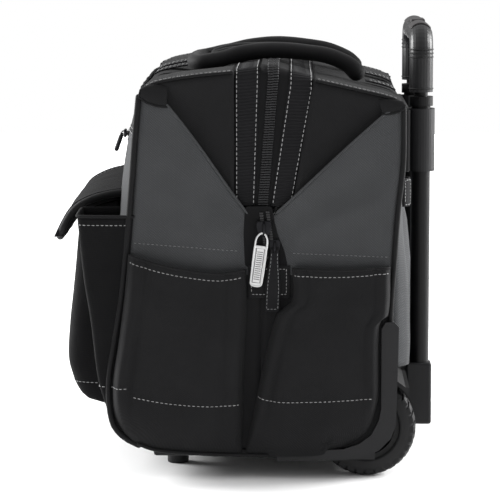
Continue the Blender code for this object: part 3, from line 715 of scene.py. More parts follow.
def build_end_edges(side, suffix):
    """Piping round the end panel, folded hems along the notch, and the faint seam across the canvas."""
    piping = (
        ("piping_front_", END_LEFT, -2.4, 34, 386, 3.0),
        ("piping_back_", END_RIGHT, 1.2, 160, 374, 2.6),
    )
    for name, line, beside, foot, top, radius in piping:
        path = [Vector((curve_at(line, z) + beside, side * (HALF - 1.8), z)) for z in steps(foot, top, 5)]
        tube(name + suffix, path, radius, PIPING, "carcass")
    for name, line, top in (("notch_hem_left_", NOTCH_LEFT, 378), ("notch_hem_right_", NOTCH_RIGHT, 374)):
        path = [end_point(curve_at(line, z), z, side, -0.2) for z in steps(270, top, 4)]
        tube(name + suffix, path, 1.3, CANVAS, "carcass", 8)
    seams = (
        ("canvas_seam_left_", -134, 240, 0.072, -131, -23),
        ("canvas_seam_right_", 26, 230, 0.04, 28, 127),
    )
    for name, x_start, z_start, slope, first, last in seams:
        path = [end_point(x, z_start - (x - x_start) * slope, side, 0.35) for x in steps(first, last, 4)]
        stitches(name + suffix, path, GREY_THREAD, "carcass", 4.4, 2.6, 0.3)


def build_ears(side, suffix):
    """Where the top fabric folds over the corners of the end panel: a small soft ear at each."""
    shapes = {
        "front": (4.0, [(-123, 393), (-124.5, 386), (-117, 380.5), (-107, 377), (-97, 376)],
                  [(-121, 396), (-116, 398), (-110, 399), (-104, 398), (-96, 396)]),
        "back": (2.2, [(140, 378), (139.5, 375), (134, 371.5), (126, 369.5), (118, 369)],
                 [(138.5, 382), (134, 383), (128, 384), (121, 384), (114, 383)]),
    }
    for name, (height, lower, upper) in shapes.items():
        rows = []
        for k in range(5):
            row = []
            for step in range(7):
                s = step / 6
                x = between(lower[k][0], upper[k][0], s)
                z = between(lower[k][1], upper[k][1], s)
                up = math.sin(math.pi * clamp(0.12 + s * 0.88))
                curl = height * up * math.sin(math.pi * (0.12 + 0.76 * k / 4))
                row.append(Vector((x, side * (HALF - 1.5 * s + curl), z)))
            rows.append(row)
        fine = [rows[0]]
        for a, b in zip(rows, rows[1:]):
            fine += [[a[j].lerp(b[j], t) for j in range(7)] for t in (0.25, 0.5, 0.75, 1)]
        ear = sheet("ear_%s_%s" % (name, suffix), fine, BLACK, "carcass", 1.6)
        rolled = [row[0] for row in fine]
        tube("ear_roll_%s_%s" % (name, suffix), rolled, 1.1, BLACK, "carcass", 8)


def build_front_wall():
    """Grey canvas below the front zip and a black band above it."""
    split = ZIP_Z + 6
    parts = (("front_canvas", WALL_LOW + 1, split, CANVAS, 7), ("front_band", split, WALL_TOP, BLACK, 5))
    for name, first, last, material, pitch in parts:
        across = steps(WALL_REACH, -WALL_REACH, 9)
        rows = [[front_point(y, z) for y in across] for z in steps(first, last, pitch)]
        wall = sheet(name, rows, material, "carcass", CANVAS_THICK)
        if name == "front_canvas":
            stand_for("front_wall")
    for z in (split - 0.5, split + 4):
        line = [front_point(y, z, 0.4) for y in steps(-WALL_REACH, WALL_REACH, 5)]
        stitches("front_stitch_%d" % round(z), line, THREAD, "carcass")


def build_back_wall():
    """Grey canvas with a row of stitches towards each end."""
    across = steps(-WALL_REACH, WALL_REACH, 9)
    rows = [[back_point(y, z) for y in across] for z in steps(BACK_LOW, BACK_TOP, 7)]
    wall = sheet("back_canvas", rows, CANVAS, "carcass", CANVAS_THICK)
    stand_for("back_wall")
    for side, suffix in SIDES:
        line = [back_point(side * 150, z, 0.3) for z in steps(BACK_LOW + 6, BACK_TOP - 6, 5)]
        stitches("back_stitch_" + suffix, line, GREY_THREAD, "carcass")


# ---------------------------------------------------------------- top fabric and mouth


def top_point(arch, gusset, x, along):
    """A point of the top fabric. along runs from -1 at the near gusset's foot to 1 at the far one's.

    The column beside the mouth leans with the strip that it is sewn to.
    """
    side = -1 if along < 0 else 1
    top = curve_at(arch, x)
    foot = min(curve_at(gusset, x), top - 6)
    corner = min(7.0, (top - foot) * 0.6)
    flat = TOP_REACH - corner
    drop = top - foot - corner
    total = flat + corner * math.pi / 2 + drop
    distance = abs(along) * total
    first, last = arch[0][0], arch[-1][0]
    across = math.sin(math.pi * clamp((x - first) / (last - first)))
    if distance < flat:
        y, z = distance, top
        dent = math.exp(-(((x + 74) / 24) ** 2)) * smoothstep((112 - distance) / 50)
        z += 1.2 * ripple(x, side * distance, 0, 38, 4.4) * across - top_sag(distance) - GRIP_DENT * dent
    elif distance < flat + corner * math.pi / 2:
        turn = (distance - flat) / corner
        y, z = flat + corner * math.sin(turn), top - corner + corner * math.cos(turn)
    else:
        down = distance - flat - corner * math.pi / 2
        y, z = TOP_REACH, top - corner - down
        hollow = 5.5 * across * math.sin(math.pi * clamp(down / max(drop, 1)) * 0.75)
        y -= hollow - 0.8 * ripple(x, side * 9, z, 22, 6.2) * across
    lean = MOUTH_LEAN * (last - x) / (last - first) if first > 0 else 0.0
    return Vector((x - lean * max(0.0, top - z), side * y, z))


def build_top_fabric(name, node, arch, gusset, home):
    xs = steps(arch[0][0], arch[-1][0], 4)
    shares = steps(-1, 1, 0.008)
    rows = [[top_point(arch, gusset, x, share) for share in shares] for x in xs]
    piece = sheet(name, rows, BLACK, home, 2.2)
    stand_for(node)


def top_edge(arch, side, inset, lift):
    """A line along the near or far edge of the top fabric."""
    xs = steps(arch[0][0] + 3, arch[-1][0] - 2, 4)
    return [Vector((x, side * (TOP_REACH - inset), curve_at(arch, x) + lift)) for x in xs]


def build_top_stitching(name, arch, home):
    for side, suffix in SIDES:
        for index, (inset, lift) in enumerate(((4.5, -0.1), (11, 0.4))):
            line = top_edge(arch, side, inset, lift)
            stitches("%s_edge_stitch_%s_%d" % (name, suffix, index), line, THREAD, home, 4.6, 3.2, 0.45)
        rim = top_edge(arch, side, 1.2, -1.0)
        tube("%s_rim_%s" % (name, suffix), rim, 1.4, PIPING, home, 8)


def top_sag(y):
    """How far the soft top hangs at a distance from mid-length."""
    return BAND_SAG * (1 - clamp(abs(y) / 190) ** 2) ** 2


def band_point(edges, across, along, lift=0.0, drop=0.0):
    """A point on a mouth band, whose foot is at the height drop.

    along is millimetres from the near foot, up and over to the far foot.
    """
    (foot_a, top_a, z_a), (foot_b, top_b, z_b) = edges
    top = between(z_a, z_b, across)
    corner = BAND_CORNER
    rise = top - drop - corner
    run = 2 * (STRIP_FACE - corner)
    arc = corner * math.pi / 2
    total = 2 * rise + 2 * arc + run
    mirrored = along > total / 2
    distance = total - along if mirrored else along
    if distance < rise:
        share = distance / rise
        y, z, normal = STRIP_FACE, drop + distance, Vector((0, 1, 0))
    elif distance < rise + arc:
        share = 1.0
        turn = (distance - rise) / corner
        y = STRIP_FACE - corner + corner * math.cos(turn)
        z = drop + rise + corner * math.sin(turn)
        normal = Vector((0, math.cos(turn), math.sin(turn)))
    else:
        share = 1.0
        y, normal = STRIP_FACE - corner - (distance - rise - arc), Vector((0, 0, 1))
        z = top - top_sag(y)
    x = between(between(foot_a, top_a, share), between(foot_b, top_b, share), across)
    side = 1 if mirrored else -1
    point = Vector((x, side * y, z))
    return point + Vector((0, side * normal.y, normal.z)) * lift


def band_length(edges, across, drop):
    (_, _, z_a), (_, _, z_b) = edges
    top = between(z_a, z_b, across)
    return 2 * (top - drop - BAND_CORNER) + BAND_CORNER * math.pi + 2 * (STRIP_FACE - BAND_CORNER)


def build_mouth_strip(node, body):
    """Ribbed webbing beside the zip, sewn down with two rows of pale thread."""
    edges = BANDS[node]
    total = band_length(edges, 0.5, FOOT_Z)
    rib = 3.2
    alongs = steps(0, total, rib / 4)
    shares = [k / 8 for k in range(9)]
    rows = []
    for along in alongs:
        row = []
        for share in shares:
            ridge = 0.45 * math.cos(2 * math.pi * (along - 1.6 * share) / rib)
            edge = 0.7 if share in (0, 1) else 0.0
            here = along / total * band_length(edges, share, FOOT_Z)
            row.append(band_point(edges, share, here, 0.9 + ridge - edge, FOOT_Z))
        rows.append(row)
    strip = sheet(node + "_webbing", [row[::-1] for row in rows], WEBBING, body, 1.6)
    stand_for(node)
    for index, share in enumerate((0.085, 0.915)):
        length = band_length(edges, share, FOOT_Z)
        line = [band_point(edges, share, along, 1.5, FOOT_Z) for along in steps(2, length - 2, 3)]
        stitches("%s_stitch_%d" % (node, index), line, THREAD, body, 4.8, 3.3, 0.43)


def build_zip_half(node, body, teeth_side):
    """Zip tape tucked under the webbing, with a row of teeth along the edge that meets the other half.

    Behind the teeth, the rear half's tape runs on as a dark flap: a sheet that stands in for the shade inside
    the bag, where light would otherwise show through between the teeth.
    """
    edges = BANDS[node]
    total = band_length(edges, 0.5, TAPE_Z)
    # The rear half's share -0.9 reaches under the front half's teeth. It is the dark flap that stands in for
    # the shade inside the bag.
    tucked = [(-0.5, -1.5)] if teeth_side > 0 else [(-0.9, -1.9), (1.5, -1.5)]
    columns = sorted([(share / 4, 0.0) for share in range(5)] + tucked, reverse=True)
    rows = []
    for along in steps(0, total, 4):
        row = [
            band_point(edges, share, along / total * band_length(edges, share, TAPE_Z), lift, TAPE_Z)
            for share, lift in columns
        ]
        rows.append(row)
    tape = sheet(node + "_tape", rows, TAPE, body, 1.0)
    stand_for(node)
    points, faces = [], []
    edge_share = 1.0 if teeth_side > 0 else 0.0
    for along in steps(1, total - 1, 2.5):
        here = along / total * band_length(edges, edge_share, TAPE_Z)
        add_tooth(points, faces, edges, edge_share, here, teeth_side)
    make_piece(node + "_teeth", points, faces, TEETH, body)


def add_tooth(points, faces, edges, share, along, toward):
    """One tooth: a rounded bar that reaches from the tape's edge into the chain, with a raised back."""
    first = len(points)
    profile = ((-4.8, 0.9), (-4.2, 1.9), (-2.6, 2.1), (-1.2, 1.5), (0.6, 1.6), (1.2, 0.9))
    half = 0.85
    for offset, lift in profile:
        for step, drop in ((-half, 0.7), (-half * 0.6, 0.0), (half * 0.6, 0.0), (half, 0.7)):
            point = band_point(edges, share, along + step, max(lift - drop, 0.0), TAPE_Z)
            points.append(point + Vector((toward * offset, 0, 0)))
    order = grid_faces(len(profile), 4)
    faces.extend(tuple(first + v for v in (face if toward < 0 else face[::-1])) for face in order)


def build_zip_stop(side, suffix):
    """Black gusset where the zip ends, with the zip's tail and a box-stitched patch over its foot."""

    def put(u, v, w):
        return Vector((u, side * (FACE - 0.2 + w), v))

    outline = rounded_corners(
        [(-19, 216), (24, 216), (20.5, 232), (14, 248), (10.5, 262), (8, 277), (-19, 277), (-20.5, 250)], 4
    )
    panel = slab("zip_gusset_" + suffix, outline, 0.6, TAPE, "carcass", put, 0.3)
    stand_for("zip_stop_" + suffix)
    rows = []
    for z in steps(184.5, 217.5, 3):
        rows.append([put(x, z, 1.7 + 0.5 * ripple(x, 0, z, 12, 5)) for x in steps(-16, 26, 3)])
    patch = sheet("zip_patch_" + suffix, rows if side < 0 else [r[::-1] for r in rows], BLACK, "carcass", 1.6)
    corners = [(-12.5, 188.5), (22.5, 188.5), (22.5, 214), (-12.5, 214)]
    box_of_stitches("patch_stitch_" + suffix, put, corners, 2.2, "carcass", 3.6, 2.4, 0.38)
    tail, faces = [], []
    for z in steps(226, 270, 2.5):
        for column in (-3.2, 3.2):
            x = 1.5 + (262 - z) * 0.13 + column
            first = len(tail)
            for u, w in ((-2.2, 0.4), (-1.4, 2.2), (1.4, 2.2), (2.2, 0.4)):
                for v in (-0.9, 0.9):
                    tail.append(put(x + u, z + v + (1.2 if column > 0 else 0), w))
            faces += [tuple(first + v for v in face) for face in grid_faces(4, 2)]
    make_piece("zip_tail_" + suffix, tail, faces, TEETH, "carcass")


# ---------------------------------------------------------------- sliders and pulls


def end_place(x0, z0, y0):
    """Puts plate coordinates on the near end: u to the right, v up and w towards the viewer."""
    return lambda u, v, w: Vector((x0 + u, -(y0 + w), z0 + v))


def build_slider(name, node, body, width, height, thick):
    """Shouldered plate with a bridge for its pull."""
    put = end_place(middle_of(node, 0), middle_of(node, 2), FACE + 1.6)
    half, tall = width / 2, height / 2
    nose = half * 0.55
    shoulders = [(-half, tall), (-half, 0), (-nose, -tall), (nose, -tall), (half, 0), (half, tall)]
    plate = slab(name, rounded_corners(shoulders, 3), thick, BLACK_STEEL, body, put, 0.7)
    stand_for(node)
    bridge = [
        put(0, tall - 2, thick), put(0, tall - 3, thick + 2.4), put(0, 0, thick + 3.2),
        put(0, -4.0, thick + 3.0), put(0, -tall + 2.5, thick),
    ]
    tube(name + "_bridge", fine_path(bridge, 1), 1.3, BLACK_STEEL, body, 10)


def build_metal_pull():
    """Pressed plate on a wire loop, with a raised rim and plain cross ridges."""
    body = "metal_pull"
    x_top = middle_of("slider_upper", 0) - 1.5
    z_top = high("pull_metal", 2) - 4
    z_low = low("pull_metal", 2)
    y = -low("pull_metal", 1) - 0.9
    lean = math.atan2(7.0, z_top - z_low)

    def put(u, v, w):
        cos, sin = math.cos(lean), math.sin(lean)
        return Vector((x_top + u * cos + v * sin, -(y + w), z_top - u * sin + v * cos))

    length = (z_top - z_low) / math.cos(lean)
    loop = [
        (-5.6, -length + 3), (-6.0, -12), (-5.4, -3), (-2.6, 1.6), (0, 2.6), (2.6, 1.6), (5.4, -3),
        (6.0, -12), (5.6, -length + 3), (3.5, -length + 0.8), (-3.5, -length + 0.8), (-5.6, -length + 3),
    ]
    tube("pull_loop", fine_path([put(u, v, 0) for u, v in loop], 1.2), 1.1, NICKEL, body, 10)
    outline = rounded_corners([(-5.6, -length + 1), (5.6, -length + 1), (5.9, -10), (-5.9, -10)], 2)
    plate = slab("pull_plate", outline, 1.3, NICKEL, body, lambda u, v, w: put(u, v, w - 0.65), 0.4)
    stand_for("pull_metal")
    rim = [(-3.9, -length + 4), (3.9, -length + 4), (4.1, -13), (-4.1, -13), (-3.9, -length + 4)]
    tube("pull_rim", [put(u, v, 0.6) for u, v in rim], 0.55, STEEL, body, 8)
    for k, v in enumerate(steps(-length + 7.5, -16.5, 2.1)):
        tube("pull_ridge_%d" % k, [put(-2.5, v, 0.7), put(2.5, v, 0.7)], 0.45, STEEL, body, 8)


def build_webbing_pull():
    """Folded webbing tab, stitched near both edges."""
    body = "webbing_pull"
    z_top, z_low = high("pull_webbing", 2), low("pull_webbing", 2)
    y = -middle_of("pull_webbing", 1)

    def put(u, v, w):
        down = (z_top - v) / (z_top - z_low)
        middle = between(10.8, 8.2, down)
        half = between(3.6, 7.2, smoothstep(down * 1.4))
        curl = 1.6 * math.sin(math.pi * down) + 1.2 * (1 - down) * abs(u)
        return Vector((middle + u * half, -(y + curl + w), v))

    rows = [[put(u / 4, v, 0.8) for u in range(-4, 5)] for v in steps(z_low, z_top, 2)]
    tab = sheet("webbing_tab", rows, WEBBING, body, 1.8)
    stand_for("pull_webbing")
    for index, u in enumerate((-0.78, 0.78)):
        line = [put(u, v, 1.1) for v in steps(z_low + 3, z_top - 4, 3)]
        stitches("tab_stitch_%d" % index, line, GREY_THREAD, body, 3.8, 2.6, 0.36)
    foot = [put(u / 8 * 0.78, z_low + 3, 1.1) for u in range(-8, 9)]
    stitches("tab_foot_stitch", foot, GREY_THREAD, body, 3.4, 2.4, 0.36)


# ---------------------------------------------------------------- pockets


# About where the pouches of an end start and stop, and how tall they are, for the first guess of a height.
POUCH_FOOT = 40
POUCH_MOUTH = 215
POUCH_HEIGHT = 185


def pocket_sheet(name, foot_line, left_line, right_line, top_line, depth, side, node, fold, seed):
    """A pouch on an end wall: steep bellows at the sides, a round foot and an open, slightly sagging top.

    foot_line and top_line give Z for an X, left_line and right_line give X for a Z.
    """

    def put(u, v):
        z = between(POUCH_FOOT, POUCH_MOUTH, v)
        for _ in range(3):
            x = between(curve_at(left_line, z), curve_at(right_line, z), u)
            z = between(curve_at(foot_line, x), curve_at(top_line, x), v)
        inward = min(u, 1 - u) * (curve_at(right_line, z) - curve_at(left_line, z))
        rise = 1 - (1 - clamp(inward / fold)) ** 3
        over_guard = 0.5 * clamp((x - 2) / 8) * clamp((66 - x) / 8)
        foot = between(over_guard, 1.0, 1 - (1 - clamp(v * 5)) ** 2)
        corner = clamp(2.4 - 3.2 * v) * (u < 0.5)
        groove = (2.0 + 1.6 * corner) * math.exp(-(((inward - fold * 1.9) / 3.0) ** 2)) * clamp(v * 3)
        fullness = between(0.86, 1.0, math.sin(math.pi * clamp(v * 0.9)))
        if v > 0.8:
            fullness -= 0.22 * (v - 0.8) / 0.2
        soft = 2.0 * ripple(x * 1.4, side * 40, z * 0.5, 32, seed) * rise * foot
        out = depth * rise * foot * fullness - groove * foot + soft * 0.8
        return Vector((x, side * (FACE + max(out, 0.2)), z))

    shares_v = [smoothstep(k / 44) for k in range(45)]
    shares_u = [0.5 - 0.5 * math.cos(math.pi * k / 46) for k in range(47)]
    rows = [[put(u, v) for u in shares_u] for v in shares_v]
    if side > 0:
        rows = [row[::-1] for row in rows]
    piece = sheet(name, rows, BLACK, "carcass", 2.0)
    stand_for(node)
    return put


def build_front_end_pocket(side, suffix):
    """The wide pouch, with one long row of stitches low down and a short one beside it."""
    top_line = [(-137, 229), (-107, 219.5), (-75, 213), (-43, 210), (-18, 214)]
    foot_line = [(-152, 60), (-140, 44), (-122, 33.5), (-105, 29), (-69, 26.2), (-23, 24.6)]
    left_line = [(32, -118), (44, -139), (60, -149.5), (96, -152), (140, -146), (190, -139.5), (229, -136)]
    right_line = [(32, -22), (120, -20), (168, -17.5), (215, -17.5)]
    put = pocket_sheet(
        "front_pouch_" + suffix, foot_line, left_line, right_line, top_line,
        POCKET_FACE - FACE - 1.5, side, "end_pocket_%s_front" % suffix, 10, 1.1,
    )
    bands = [
        (0.16, 0.975, [(0.16, 86), (0.42, 80), (0.72, 77), (0.98, 78.5)]),
        (0.0, 0.14, [(0, 94), (0.14, 95)]),
    ]
    pocket_trim("front_pouch_" + suffix, put, side, bands)


def build_bottom_welt(side, suffix):
    """Piping along the lower edge of the end, under the two pouches."""
    line = [(-126, 36), (-117, 32.2), (-105, 29.4), (-69, 26.4), (-20, 24.8), (40, 24.6), (58, 26)]
    path = fine_path([(x, side * (FACE + 2.2), z) for x, z in line], 4)
    tube("bottom_welt_" + suffix, path, 2.0, PIPING, "carcass", 10)


def build_rear_end_pocket(side, suffix):
    """The pouch behind the mouth, whose upper part is narrower, with one row of stitches low down."""
    top_line = [(28, 215), (75, 213.5), (127, 216)]
    foot_line = [(-18, 24.6), (40, 24.6), (60, 26.5), (76, 32), (95, 41), (107, 50), (114, 70)]
    left_line = [(33, -18), (50, -14.5), (168, 12.5), (182, 28), (216, 28)]
    right_line = [(33, 78), (41, 95), (50, 107), (72, 114.5), (161, 116.5), (166, 124.5), (216, 127)]
    put = pocket_sheet(
        "rear_pouch_" + suffix, foot_line, left_line, right_line, top_line,
        POCKET_FACE - FACE - 3, side, "end_pocket_%s_rear" % suffix, 8, 7.7,
    )
    bands = [(0.01, 0.97, [(0.0, 86), (0.15, 82), (0.45, 81.5), (0.98, 85)])]
    pocket_trim("rear_pouch_" + suffix, put, side, bands)


def lifted(put, u, v, side, lift):
    point = put(u, v)
    return Vector((point.x, point.y + side * lift, point.z))


def share_at(put, u, z):
    """The share of a pouch's height at which it reaches a height Z."""
    v = 0.3
    for _ in range(6):
        v += (z - put(u, v).z) / POUCH_HEIGHT
    return clamp(v)


def pocket_trim(name, put, side, bands):
    """Folded hem and its stitches along the mouth, and rows of stitches low down.

    bands gives, for each row, the shares of the width where it starts and stops, and its Z for a share.
    """
    shares = [0.02 + 0.96 * k / 60 for k in range(61)]
    hem = [lifted(put, u, 1.0, side, -0.4) for u in shares]
    tube(name + "_hem", hem, 1.5, BLACK, "carcass", 10)
    line = [lifted(put, u, 0.965, side, 0.35) for u in shares]
    stitches(name + "_hem_stitch", line, THREAD, "carcass")
    for index, (start, stop, heights) in enumerate(bands):
        line = []
        for u in steps(start, stop, 0.012):
            line.append(lifted(put, u, share_at(put, u, curve_at(heights, u)), side, 0.35))
        stitches("%s_band_stitch_%d" % (name, index), line, THREAD, "carcass", radius=0.4)


def cargo_out(z):
    """X of the cargo pouch's outer face."""
    line = [(58.5, -165), (62, -183), (73, -195.3), (95, -203.8), (109, -205.5), (143, -202.6), (250, -193)]
    return curve_at(line, z)


def box_pouch(name, low_y, high_y, bottom, top, outer, node, seed, bulge=1.2, power=22):
    """A pouch on the front wall whose ends turn in to meet the wall."""
    middle, half = (low_y + high_y) / 2, (high_y - low_y) / 2
    farthest_out = low("cargo_flap", 0) - 8

    def put(u, v):
        y = middle + half * math.sin(math.pi / 2 * u) if abs(u) <= 1 else middle
        z = between(bottom, top, v)
        fullness = (1 - abs((y - middle) / half) ** power) ** (1 / 2.2) if abs(y - middle) < half else 0.0
        inner = front_point(y, z, -3.0).x
        reach = inner - outer(z)
        soft = bulge * ripple(0, y, z * 0.6, 33, seed) * fullness
        sag = bulge * fullness * math.sin(math.pi * v)
        return Vector((max(inner - reach * fullness - (soft + sag), farthest_out), y, z))

    shares_v = [k / 40 for k in range(41)]
    shares_u = [-1 + 2 * k / 70 for k in range(71)]
    rows = [[put(u, v) for u in reversed(shares_u)] for v in shares_v]
    # The pouch wears the darker copy of the black nylon: painted shade.
    piece = sheet(name, rows, SHADED_BLACK, "carcass", 2.2)
    stand_for(node)
    hem = [put(u, 1.0) for u in shares_u]
    tube(name + "_hem", hem, 1.6, BLACK, "carcass", 10)
    for suffix, v in (("_hem_stitch", 0.955), ("_foot_stitch", 0.12)):
        line = [put(u, v) - Vector((0.4, 0, 0)) for u in shares_u]
        stitches(name + suffix, line, THREAD, "carcass")


def side_out(z):
    """X of a side pouch's outer face."""
    return curve_at([(70, -158.5), (100, -167), (162, -174.5), (204, -181), (266, -188)], z)


def hollow_rows(side, y, hollow, edges):
    """Rows of an upright cloth piece between pairs of (x, z) points, hollowed by hollow in the middle."""
    rows = []
    for (x0, z0), (x1, z1) in edges:
        row = []
        for s in (0, 0.25, 0.5, 0.75, 1):
            inwards = side * (y - hollow * math.sin(math.pi * s))
            row.append(Vector((between(x0, x1, s), inwards, between(z0, z1, s))))
        rows.append(row)
    return rows


def build_cargo_gussets():
    """The pocket's soft ends, which rise under the flap."""
    outline = [(-192, 250), (-190, 256), (-183, 262), (-169, 267.5), (-152, 271.5)]
    upper = fine_path([(x, 0, z) for x, z in outline], 2)
    edges = []
    for t in steps(0, 1, 0.05):
        top = upper[round(t * (len(upper) - 1))]
        edges.append(((between(-191, -148, t), 244), (top.x, top.z)))
    for side, suffix in SIDES:
        rows = hollow_rows(side, CARGO_HALF - 2, 3, edges)
        sheet("cargo_gusset_" + suffix, rows, BLACK, "carcass", 1.6)


def build_front_pockets():
    box_pouch("cargo_pouch", -CARGO_HALF, CARGO_HALF, 59, CARGO_TOP, cargo_out, "cargo_pocket", 2.9)
    for side, suffix in SIDES:
        low_y, high_y = sorted((side * SIDE_INNER, side * (HALF - 1)))
        box_pouch(
            "side_pouch_" + suffix, low_y, high_y, 70, SIDE_TOP, side_out, "side_pocket_" + suffix,
            5.5 + side, 0.5,
        )


# (X, Z) along the flap's top, from its seam to its tip, and along the lower edge of its skirts.
FLAP_TOP = [(-144, 285.5), (-152, 285.2), (-173, 281), (-189, 274.5), (-199, 267.5), (-208, 254), (-217, 235)]
FLAP_EDGE = [(-153.5, 274.5), (-166, 271), (-180, 266), (-189, 260.5), (-197, 252), (-209.5, 236)]
RIM_DEPTH = -3.2  # the rolled rim's centre line, below the lid's surface


def build_flap():
    """Padded lid of the cargo pocket with rounded corners, a rolled rim and side skirts."""
    home = ("carcass", "flap", (-147, 0, 285), (-160, 0, 283))
    spine = fine_path([(x, 0, z) for x, z in FLAP_TOP], 3)
    count = len(spine)

    def put(k, u, lift=0.0):
        here = spine[k]
        ahead = spine[min(k + 1, count - 1)] - spine[max(k - 1, 0)]
        out = Vector((ahead.z, 0, -ahead.x)).normalized()
        if out.z < 0:
            out = -out
        share = k / (count - 1)
        half = FLAP_HALF - 0.5 - 16 * clamp((share - 0.86) / 0.14) ** 2
        puff = 1.8 * math.sin(math.pi * share) * (1 - abs(u) ** 6)
        puff += 0.8 * ripple(here.x, u * 141, here.z, 30, 8.8)
        return Vector((here.x, half * u, here.z)) + out * (puff + lift - 1.2)

    shares = [-1 + k / 30 for k in range(61)]
    rows = [[put(k, u) for u in shares] for k in range(count)]
    # The lid wears the darker copy of the black nylon: painted shade.
    lid = sheet("flap_lid", rows, SHADED_BLACK, home, 6.0)
    stand_for("cargo_flap")
    rim = [put(k, -1, RIM_DEPTH) for k in range(count)]
    rim += [put(count - 1, u, RIM_DEPTH) for u in shares[1:-1]]
    rim += [put(k, 1, RIM_DEPTH) for k in range(count - 1, -1, -1)]
    tube("flap_rim", eased(rim, 6), 4.0, PIPING, home, 12)
    inner = [put(k, -0.955, 0.35) for k in range(2, count - 3)]
    inner += [put(count - 4, u * 0.955, 0.35) for u in shares]
    inner += [put(k, 0.955, 0.35) for k in range(count - 4, 1, -1)]
    stitches("flap_stitch", inner, GREY_THREAD, home, radius=0.36)
    build_flap_skirts(spine)


def build_flap_skirts(spine):
    """The flap's sides, from the lid's top line down to the skirts' edge."""
    edge = fine_path([(x, 0, z) for x, z in FLAP_EDGE], 3)
    edges = []
    for t in steps(0, 1, 0.04):
        upper = spine[round(t * (len(spine) - 1))]
        lower = edge[round(t * (len(edge) - 1))]
        edges.append(((upper.x, upper.z), (lower.x, lower.z)))
    for side, suffix in SIDES:
        rows = hollow_rows(side, FLAP_HALF - 2.5, 1.5, edges)
        if side < 0:
            rows = [row[::-1] for row in rows]
        piece = sheet("flap_skirt_" + suffix, rows, BLACK, "flap", 1.8)


def build_front_zip():
    """Coil zip across the front with its tape, slider and cord pull."""
    reach = high("front_zip", 1)
    across = steps(reach, -reach, 6)
    rows = [[front_point(y, z, 1.0) for y in across] for z in steps(ZIP_Z - 7, ZIP_Z + 7, 2)]
    tape = sheet("front_zip_tape", rows, TAPE, "carcass", 0.9)
    stand_for("front_zip")
    for index, offset in enumerate((-1.3, 1.3)):
        line = [front_point(y, ZIP_Z + offset, 1.5) for y in steps(-reach, reach, 3)]
        stitches("front_zip_coil_%d" % index, line, TEETH, "carcass", 1.9, 1.7, 1.1)
    for index, offset in enumerate((-6, 6)):
        line = [front_point(y, ZIP_Z + offset, 1.3) for y in steps(-reach, reach, 4)]
        stitches("front_zip_stitch_%d" % index, line, THREAD, "carcass", radius=0.36)
    build_pocket_zip_slider()


def build_pocket_zip_slider():
    """The body that runs on the coil, the loop that holds the cord, and the cord's moulded sleeve."""
    outer = low("front_zip_slider", 0)
    inner = high("front_zip_slider", 0)
    y = middle_of("front_zip_slider", 1)
    body = [Vector((inner + 0.2, y + step, ZIP_Z)) for step in (-5.5, -2, 2, 5.5)]
    tube("front_zip_slider_body", body, 2.3, BLACK_STEEL, "pocket_zip_slider", 12)
    half_loop = [(outer + 0.4, 2.4), (outer - 1.6, 2.3), (outer - 3.2, 1.0)]
    outline = half_loop + [(x, -z) for x, z in reversed(half_loop)]
    loop = eased([Vector((x, y, ZIP_Z + z)) for x, z in outline], 1)
    tube("front_zip_slider_loop", loop, 0.75, STEEL, "pocket_zip_slider", 8)
    top = high("front_zip_pull", 2) - 4
    foot = low("front_zip_pull", 2)
    x_top = high("front_zip_pull", 0) - 1.7 - 1.2
    x_foot = low("front_zip_pull", 0) + 1.6
    shares = (0, 0.3, 0.6, 1)
    sleeve = [Vector((between(x_top, x_foot, t), y, between(top, foot, t))) for t in shares]
    tube("front_zip_pull_sleeve", sleeve, 2.4, PLASTIC, "pocket_zip_pull", 12)


# ---------------------------------------------------------------- carry handles


# Shares of each handle's reach from its base to its grip, and its centre line's Z there.
REAR_LEG_LINE = [
    (-0.034, 401.5), (0.02, 409.5), (0.15, 418.5), (0.30, 422.5), (0.46, 424.5), (0.60, 423.6),
    (0.74, 419.8), (0.88, 414.0), (0.97, 411.5),
]
FRONT_LEG_LINE = [
    (-0.03, 415.5), (0.08, 419.5), (0.28, 421.5), (0.55, 422.2), (0.82, 420.0), (0.97, 417.5),
]


def handle_path(line, base_x, grip_x, leg_y):
    """From the near foot along one leg, across the grip and back along the other, a little lower."""
    reach = grip_x - base_x
    toward = math.copysign(1, reach)
    settled = 0.8
    near = [Vector((base_x + reach * share, -leg_y, z)) for share, z in line]
    far = [Vector((p.x, leg_y, p.z - settled)) for p in reversed(near)]
    end = near[-1]
    grip = [
        Vector((grip_x + toward * 2.0, -leg_y + 13, end.z - 0.5)),
        Vector((grip_x + toward * 3.5, 0, end.z - 1.0)),
        Vector((grip_x + toward * 2.0, leg_y - 13, end.z - 0.5 - settled)),
    ]
    return fine_path(near + grip + far, 4)


def build_carry_handles():
    """Padded loops. The rear one is the thicker and lies over the front one."""
    sizes = {
        "rear": (REAR_LEG_LINE, high("carry_handle_rear", 0) - 9.0, -71, 9.3),
        "front": (FRONT_LEG_LINE, low("carry_handle_front", 0) + 6.5, 56, 6.7),
    }
    for name, (line, base_x, grip_x, radius) in sizes.items():
        body = name + "_handle"
        path = handle_path(line, base_x, grip_x, HANDLE_LEG_Y[name])

        def swell(share, direction, seed=radius):
            end = min(share, 1 - share)
            folds = 0.05 * math.sin(share * 90 + seed) * math.exp(-(((end - 0.30) / 0.05) ** 2))
            lump = 0.06 * noise.noise(Vector((share * 14, direction.y, direction.z + seed)))
            bulb = 0.08 * math.exp(-((end / 0.03) ** 2))
            flat = 0.10 * abs(direction.z)
            return 1 + folds + lump + bulb - flat

        pad = tube("carry_pad_" + name, path, radius, SMOOTH, body, 24, swell)
        stand_for("carry_handle_" + name)
        inner = [Vector((p.x, p.y * 0.985, p.z - radius * 0.9)) for p in path[4:-4]]
        stitches("carry_seam_" + name, inner, GREY_THREAD, body, 5.0, 3.2, 0.4)


